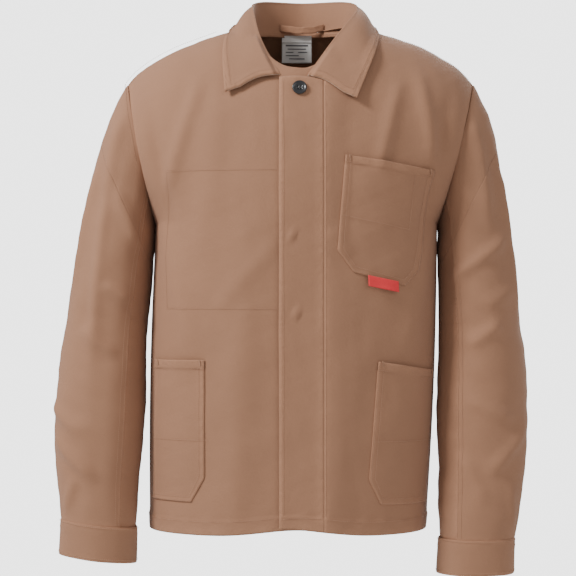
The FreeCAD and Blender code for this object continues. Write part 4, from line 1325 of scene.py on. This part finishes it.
woven_label("neck label", (-0.023, LABEL_LOW), (0.023, LABEL_TOP), NECK_IN, WHITE_LABEL, "neck_tag",
            "neck_label", 5)
size_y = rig.box("size_label")[0][1]
woven_label("size label", (-0.023, LABEL_TOP - 0.0105), (0.023, LABEL_TOP), size_y, WHITE_LABEL, "neck_tag",
            "size_label", 6)
MARKS = [(-0.017, -0.016, 0.034, 0.0022), (-0.014, -0.021, 0.028, 0.0014), (-0.017, -0.026, 0.012, 0.0014),
         (0.002, -0.026, 0.014, 0.0014), (-0.017, -0.031, 0.020, 0.0014), (-0.012, -0.036, 0.024, 0.0014)]
bars("neck label marks", [(x, LABEL_TOP + z, wide, high) for x, z, wide, high in MARKS], NECK_IN - 0.0007,
     LABEL_MARK, "neck_tag")

flag_line = locate(np.linspace(0.0995, 0.1425, 25), np.linspace(-0.3765, -0.3855, 25))
top_edge = skin(*flag_line, -1, 0.0052)
down = np.linspace(0, 1, 13)[:, None, None]
flag_points = top_edge[None] + down * np.array([0.0008, -0.0012, -0.0155])
flag_points[..., 1] += 0.0006 * np.sin(7 * np.linspace(0, 1, 25)) * down[..., 0]
flag = panel("flag label", flag_points, RED_LABEL, thickness=0.0005, flip=True)
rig.ride(flag, "flag_tag")
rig.replaces(flag, "flag_label")
print("labels placed, flag at", np.round(flag_points[0, 12], 4))

# %% [markdown]
# ## Buttons
# A sew-on button is turned: a low dish with a raised rim and four holes. The dish is a profile swept round
# an axis in rings. Its flat centre is filled between the innermost ring and the outlines of four round
# holes, and each hole is a short wall with a floor.


# %% Button and its thread
def button_mesh(radius, height):
    """A turned button: rings of (share of radius, height), a flat centre, and four round recesses in it."""
    profile_line = np.array([(0.80, 0.0), (0.93, 0.14), (1.0, 0.45), (0.985, 0.78), (0.93, 0.97),
                             (0.86, 1.0), (0.79, 0.95), (0.73, 0.78), (0.66, 0.66), (0.55, 0.62)])
    turn = np.linspace(0, 2 * np.pi, 48, endpoint=False)
    wide, high = profile_line[:, 0, None] * radius, profile_line[:, 1, None] * height
    rings = stack(wide * np.cos(turn), wide * np.sin(turn), high)
    mesh = bmesh.new()
    rows = [[mesh.verts.new(point) for point in ring] for ring in rings]
    for low, high in zip(rows[:-1], rows[1:]):
        for k in range(48):
            mesh.faces.new((low[k], low[(k + 1) % 48], high[(k + 1) % 48], high[k]))
    mesh.faces.new(rows[0][::-1])
    # the centre disc, with four round holes, filled as one area between their outlines
    level = 0.62 * height
    edges = [mesh.edges.get((rows[-1][k], rows[-1][(k + 1) % 48])) for k in range(48)]
    for px, py in ((1, 1), (1, -1), (-1, -1), (-1, 1)):
        spot = np.array([px, py]) * radius * 0.2
        hole = radius * 0.105
        ring = [mesh.verts.new((spot[0] + hole * np.cos(a), spot[1] + hole * np.sin(a), level))
                for a in np.linspace(0, 2 * np.pi, 14, endpoint=False)]
        deep = [mesh.verts.new((v.co.x, v.co.y, 0.08 * height)) for v in ring]
        for k in range(14):
            mesh.faces.new((ring[k], ring[(k + 1) % 14], deep[(k + 1) % 14], deep[k]))
            edges.append(mesh.edges.get((ring[k], ring[(k + 1) % 14])))
        mesh.faces.new(deep)
    bmesh.ops.triangle_fill(mesh, edges=edges, use_beauty=True)
    bmesh.ops.recalc_face_normals(mesh, faces=mesh.faces)
    return mesh


def turned_to(spot, outward):
    """A matrix that takes +Z to outward and the origin to spot."""
    turn = Vector((0, 0, 1)).rotation_difference(Vector(outward))
    return Matrix.Translation(Vector(spot)) @ turn.to_matrix().to_4x4()


def pour(part, into):
    """Adds the faces of one working mesh to another and frees it."""
    passing = bpy.data.meshes.new("part")
    part.to_mesh(passing)
    into.from_mesh(passing)
    bpy.data.meshes.remove(passing)
    part.free()


def sewn_button(name, spots, radius, height, cloth_bodies, hidden):
    """Buttons of one size at (spot, outward) pairs, as one mesh, and the thread crosses in their holes."""
    discs = bmesh.new()
    threads = bmesh.new()
    for spot, outward in spots:
        one = button_mesh(radius, height)
        one.transform(turned_to(spot, outward))
        pour(one, discs)
        for angle in (45, 135):
            bar = bmesh.new()
            bmesh.ops.create_uvsphere(bar, u_segments=8, v_segments=6, radius=1)
            reach = radius * 0.33
            bar.transform(Matrix.Diagonal((reach, radius * 0.055, height * 0.16, 1)))
            bar.transform(turned_to(spot, outward) @ Matrix.Translation((0, 0, height * 0.66))
                          @ Matrix.Rotation(np.radians(angle), 4, "Z"))
            pour(bar, threads)
    for work, title, material in ((discs, name, HORN), (threads, name + " thread", THREAD_DARK)):
        mesh = bpy.data.meshes.new(title)
        work.to_mesh(mesh)
        work.free()
        mesh.shade_smooth()
        piece = place_in_scene(title, mesh, material)
        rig.ride(piece, cloth_bodies)
        if material is HORN:
            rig.replaces(piece, *hidden)


def front_spot(x, z, lift, placket=True):
    """A point on the draped front and its outward direction."""
    turn, level = locate(x, z)
    return skin(turn, level, -1, lift, placket=placket), normals_of(body, turn, level, -1)


sewn_button("top button", [front_spot(0.003, -0.1100, 0.0008)], 0.0106, 0.0034, "torso",
            ("top_button", "button_threads"))
hidden_spots = [front_spot(0.003, z, 0.0002, placket=False)
                for z in (-0.2045, -0.3170, -0.4310, -0.5420, -0.6520)]
sewn_button("hidden buttons", hidden_spots, 0.0088, 0.0022, "torso", ("hidden_buttons",))
for side, word in ((1, "left"), (-1, "right")):
    spot = cuff_point(np.radians(262), 0.45, side, 0.0036)
    steps = ((0.05, 0), (-0.05, 0), (0, 0.05), (0, -0.05))
    near = [cuff_point(np.radians(262) + a, 0.45 + b, side) for a, b in steps]
    outward = unit(np.cross(near[0] - near[1], near[2] - near[3]))
    outward = outward if outward[1] > 0 else -outward
    sewn_button(f"{word} cuff button", [(spot, outward)], 0.0075, 0.0026, f"{word}_forearm",
                (f"{word}_cuff_button",))
print("buttons placed")

# %% [markdown]
# ## All the stitch lines
# Every seam is topstitched, most of them twice. The lines below follow the panels, pockets, collar, fly,
# sleeves and cuffs on the same shapes as the cloth, so the thread lies on every fold. A line that crosses a
# joint is made apart and bends with its cloth.

# %% Stitch lines of the body
body_lines = []


def front_line(points, lift=0.0006, placket=True):
    """A stitch line on the front through (x, z) points."""
    body_lines.append(on_front(corner_path(points), lift, placket))


def shrink(inner, outer, amount):
    """The outline of a pocket moved inwards by amount, from one mouth corner round to the other."""
    a, b, c = (np.array(point) for point in inner)
    d, e, f = (np.array(point) for point in outer)
    way = np.sign(d[0] - a[0])
    aside = way * amount
    return [(a[0] + aside, a[1]), (b[0] + aside, b[1] + amount * 0.2),
            (c[0] + aside * 0.3, c[1] + amount), (f[0] - aside * 0.3, f[1] + amount),
            (e[0] - aside, e[1] + amount * 0.2), (d[0] - aside, d[1])]


front_line(shrink(CHEST_IN, CHEST_OUT, 0.0025), 0.0030)
front_line(shrink(CHEST_IN, CHEST_OUT, 0.0085), 0.0030)
front_line([(0.0695, -0.2155), (0.1965, -0.2350)], 0.0036)
front_line([(0.0625, -0.2905), (0.1590, -0.3110)], 0.0034)
front_line([(0.1590, -0.3110), (0.1680, -0.2330)], 0.0034)
for inner, outer, flat in ((LEFT_IN, LEFT_OUT, True), (RIGHT_IN, RIGHT_OUT, False)):
    front_line(shrink(inner, outer, 0.0025)[:4], 0.0030, flat)
    front_line(shrink(inner, outer, 0.0085)[:4], 0.0030, flat)
    front_line([(inner[0][0], inner[0][1] - 0.012), (outer[0][0], outer[0][1] - 0.012)], 0.0036, flat)
    middle = 0.5 * (inner[0][1] + inner[2][1])
    front_line([(inner[0][0] * 0.97, middle - 0.012), (outer[0][0], middle - 0.014)], 0.0030, flat)
front_line([(-0.030, -0.2265), (-0.187, -0.2265)], placket=False)
front_line([(-0.030, -0.4250), (-0.187, -0.4250)], placket=False)
front_line([(-0.1885, -0.2265), (-0.1885, -0.4250)], placket=False)
front_line([(0.0395, -0.105), (0.0395, -0.742)])
for face, start, end, flat in ((-1, 0.041, 1.52, True), (-1, -1.52, -0.034, False), (1, -1.55, 1.55, True)):
    level = np.full(160, -1 + HEM_STITCH / abs(HEM - UNDERARM))
    first = start if abs(start) > 1 else float(turn_for(start, level[:1], face)[0])
    last = end if abs(end) > 1 else float(turn_for(end, level[:1], face)[0])
    turn = np.linspace(first, last, 160)
    body_lines.append((skin(turn, level, face, 0.0013, placket=flat),
                       normals_of(body, turn, level, face) * -face))
for side in (1, -1):
    for gap in (0.004, 0.010):
        share = np.linspace(0.47, 0.995, 70)
        x = side * mix(0, SHOULDER_HALF, share)
        level = np.full(70, 1 - gap / 0.16)
        for face in (-1, 1):
            if face < 0 and gap > 0.005:
                continue
            turn = np.arcsin(np.clip(x / SHOULDER_HALF, -1, 1))
            body_lines.append((skin(turn, level, face, 0.0006), normals_of(body, turn, level, face) * -face))
        level = np.linspace(0.02, 0.98, 110)
        for face in (-1, 1):
            turn = side * (np.pi / 2 - gap / 0.24) * np.ones(110)
            body_lines.append((skin(turn, level, face, 0.0006), normals_of(body, turn, level, face) * -face))
    level = np.linspace(-0.98, -0.02, 150)
    turn = side * (np.pi / 2 - 0.03) * np.ones(150)
    body_lines.append((skin(turn, level, 1, 0.0006), normals_of(body, turn, level, 1) * -1))
body_thread = stitching("body topstitching", body_lines, THREAD)
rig.ride(body_thread, "torso")

around = np.linspace(0.012, 0.988, 260)
edge_path = [(collar_skin(around, 0.875 + 0 * around, 0.0007),
              normals_of(collar, around, 0.875 + 0 * around))]
for end in (0.013, 0.987):
    down = np.linspace(0.10, 0.87, 30)
    edge_path.append((collar_skin(end + 0 * down, down, 0.0007), normals_of(collar, end + 0 * down, down)))
edge_path.append((collar_skin(around, -0.93 + 0 * around, 0.0007),
                  normals_of(collar, around, -0.93 + 0 * around)))
collar_thread = stitching("collar topstitching", edge_path, THREAD)
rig.ride(collar_thread, "torso")

fly_lines = []
for x, z_low in ((FLY_EDGE + 0.0065, -0.742), (0.0345, -0.742)):
    line = straight((x, -0.098), (x, z_low))
    turn, level = locate(*line)
    fly_lines.append((skin(turn, level, -1, 0.0007), normals_of(body, turn, level, -1)))
line = straight((FLY_EDGE + 0.003, -0.7325), (0.0355, -0.7305))
turn, level = locate(*line)
fly_lines.append((skin(turn, level, -1, 0.0013), normals_of(body, turn, level, -1)))
fly_thread = stitching("fly topstitching", fly_lines, THREAD)
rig.blend(fly_thread, "torso", "front_band", (0.0, -0.15, -0.125), (0.0, -0.15, -0.255))
print("body thread:", len(body_thread.data.polygons), "faces")

# %% Stitch lines of the sleeves, and bartacks
for side, word in ((1, "left"), (-1, "right")):
    shoulder, elbow = sleeve_bends(side, word)
    for title, low, high, (bodies, start, end) in (("head", 0.01, SPLIT, shoulder),
                                                   ("arm", SPLIT, 1.97, elbow)):
        lines = []
        for offset in (0.045, 0.145):
            share = np.linspace(low, high, 200)
            turn = np.full(200, FRONT_SEAM + offset)
            lines.append((sleeve_skin(turn, share, side, 0.0018),
                          normals_of(sleeve, turn, share, side) * -side))
        share = np.linspace(low, high, 200)
        turn = np.full(200, BACK_SEAM - 0.05)
        lines.append((sleeve_skin(turn, share, side, 0.0018), normals_of(sleeve, turn, share, side) * -side))
        thread = stitching(f"{word} sleeve {title} topstitching", lines, THREAD)
        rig.blend(thread, *bodies, start, end)
    lines = []
    for drop in (-0.085, 0.90):
        turn = np.linspace(0, 2 * np.pi, 160)
        share = np.full(160, drop)
        out = cuff_point(turn, share, side, 0.01) - cuff_point(turn, share, side, 0.0)
        lines.append((cuff_point(turn, share, side, 0.0042), unit(out)))
    thread = stitching(f"{word} cuff topstitching", lines, THREAD)
    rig.ride(thread, f"{word}_forearm")


def bartack(x, z, dx, dz, lift, placket=True):
    """A dense short bar of zigzag thread on the front, centred on (x, z), along (dx, dz)."""
    count = 15
    share = np.linspace(-0.5, 0.5, count)
    wiggle = 0.0007 * np.where(np.arange(count) % 2, 1, -1)
    long = np.hypot(dx, dz)
    line = (x + dx * share - wiggle * dz / long, z + dz * share + wiggle * dx / long)
    return on_front(line, lift, placket)


tack_lines = []
for x, z, flat in ((0.0745, -0.2090, True), (0.1915, -0.2270, True), (0.1215, -0.5040, True),
                   (0.1950, -0.5170, True), (-0.1385, -0.5020, False), (-0.2010, -0.5030, False)):
    tack_lines.append(bartack(x, z, 0.001, -0.008, 0.0038, flat))
tacks = stitching("bartacks", tack_lines, THREAD, pitch=0.0009, long=0.0017, thick=0.0008)
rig.ride(tacks, "torso")
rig.replaces(tacks, "bartacks")
print("thread pieces:", sum("stitch" in item.name for item in bpy.data.objects))

# %% [markdown]
# ## Floor, light and camera
# The jacket hangs high above a plain pale floor, in a white room. The room lights the cloth softly, and
# looks brighter to the camera than the light it gives, as a lit paper background does. One soft light from
# the upper left models the folds, a weak one fills from the right, and one from behind draws the edges.

# %% Stage
FLOOR = -1.95
ring = np.linspace(0, 2 * np.pi, 64, endpoint=False)[None]
reach = np.linspace(0.02, 6.0, 12)[:, None]
floor_points = stack(reach * np.cos(ring), reach * np.sin(ring), FLOOR + 0 * reach * ring)
floor_mesh = grid_mesh("floor", floor_points, floor_points[..., :2], 0.0, closed=0.1)
PAPER = plain_material("pale paper", (0.90, 0.90, 0.89, 1), 0.9, 30, 0.0001, spread=0.015)
floor = place_in_scene("floor", floor_mesh, PAPER)
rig.stage(floor)

world = bpy.data.worlds.new("white room")
world.use_nodes = True
room = world.node_tree
paths = room.nodes.new("ShaderNodeLightPath")
background = room.nodes["Background"]
background.inputs["Color"].default_value = (1.0, 1.0, 1.0, 1)
room.links.new(math(room, "ADD", math(room, "MULTIPLY", paths.outputs["Is Camera Ray"], 2.6), 0.62),
               background.inputs["Strength"])
bpy.context.scene.world = world


def area_light(name, place, aim, size, power):
    """A square soft light at place, turned to aim."""
    data = bpy.data.lights.new(name, "AREA")
    data.size = size
    data.energy = power
    lamp = bpy.data.objects.new(name, data)
    lamp.location = place
    lamp.rotation_euler = (Vector(aim) - Vector(place)).to_track_quat("-Z", "Y").to_euler()
    bpy.context.scene.collection.objects.link(lamp)
    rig.stage(lamp)
    return lamp


area_light("key", (-2.1, -1.3, 1.5), (0, 0, -0.35), 0.7, 120)
area_light("fill", (2.2, -1.8, 0.6), (0, 0, -0.4), 1.6, 14)
area_light("edge", (1.2, 2.4, 1.3), (0, 0, -0.35), 1.2, 60)

camera_data = bpy.data.cameras.new("camera")
camera_data.lens = 112.4
camera = bpy.data.objects.new("camera", camera_data)
camera.location = (-0.0135, -2.7, -0.395)
camera.rotation_euler = (np.pi / 2, 0, 0)
bpy.context.scene.collection.objects.link(camera)
bpy.context.scene.camera = camera
print("lights and camera set")

# %% [markdown]
# ## The pieces as cloth
# Each sheet was cut flat before it was sewn. Its flat width and length are the longest row and column of
# its grid, and its flat area is the sum of its quads, as twill hardly stretches.


def flat_size(piece):
    """Area of the sheet's own faces, and the longer and shorter reach of its UV map, which is in metres."""
    mesh = piece.data
    area = np.empty(len(mesh.polygons))
    mesh.polygons.foreach_get("area", area)
    uv = np.empty(len(mesh.loops) * 2, np.float32)
    mesh.uv_layers[0].data.foreach_get("uv", uv)
    reach = np.ptp(uv.reshape(-1, 2), axis=0)
    return float(area.sum()), float(reach[0]), float(reach[1])


SHEETS = [item for item in bpy.data.objects if item.type == "MESH" and item.modifiers.get("thickness")
          and item.data.uv_layers and item.data.attributes.get("seam")]
for item in SHEETS:
    area, wide, long = flat_size(item)
    wide, long = max(wide, 0.004), max(long, area / max(wide, 0.004))
    held = "hung" if "label" in item.name else "draped"
    wide, long = round(wide + 0.00005, 4), round(long + 0.00005, 4)
    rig.sheet(item, flat=(wide, long), held=held, area=round(min(area, wide * long), 6))
    print(f"{item.name:22s} {wide:.3f} x {long:.3f} m, {area:.4f} m2")

# %% Write both boxes and finish
new_box = [list(corner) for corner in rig.bounds()]
with open("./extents.json", "w") as handle:
    json.dump({"cad": cad_box, "visual": new_box}, handle)
print("CAD box", np.round(cad_box, 4).tolist())
print("visual box", np.round(new_box, 4).tolist())
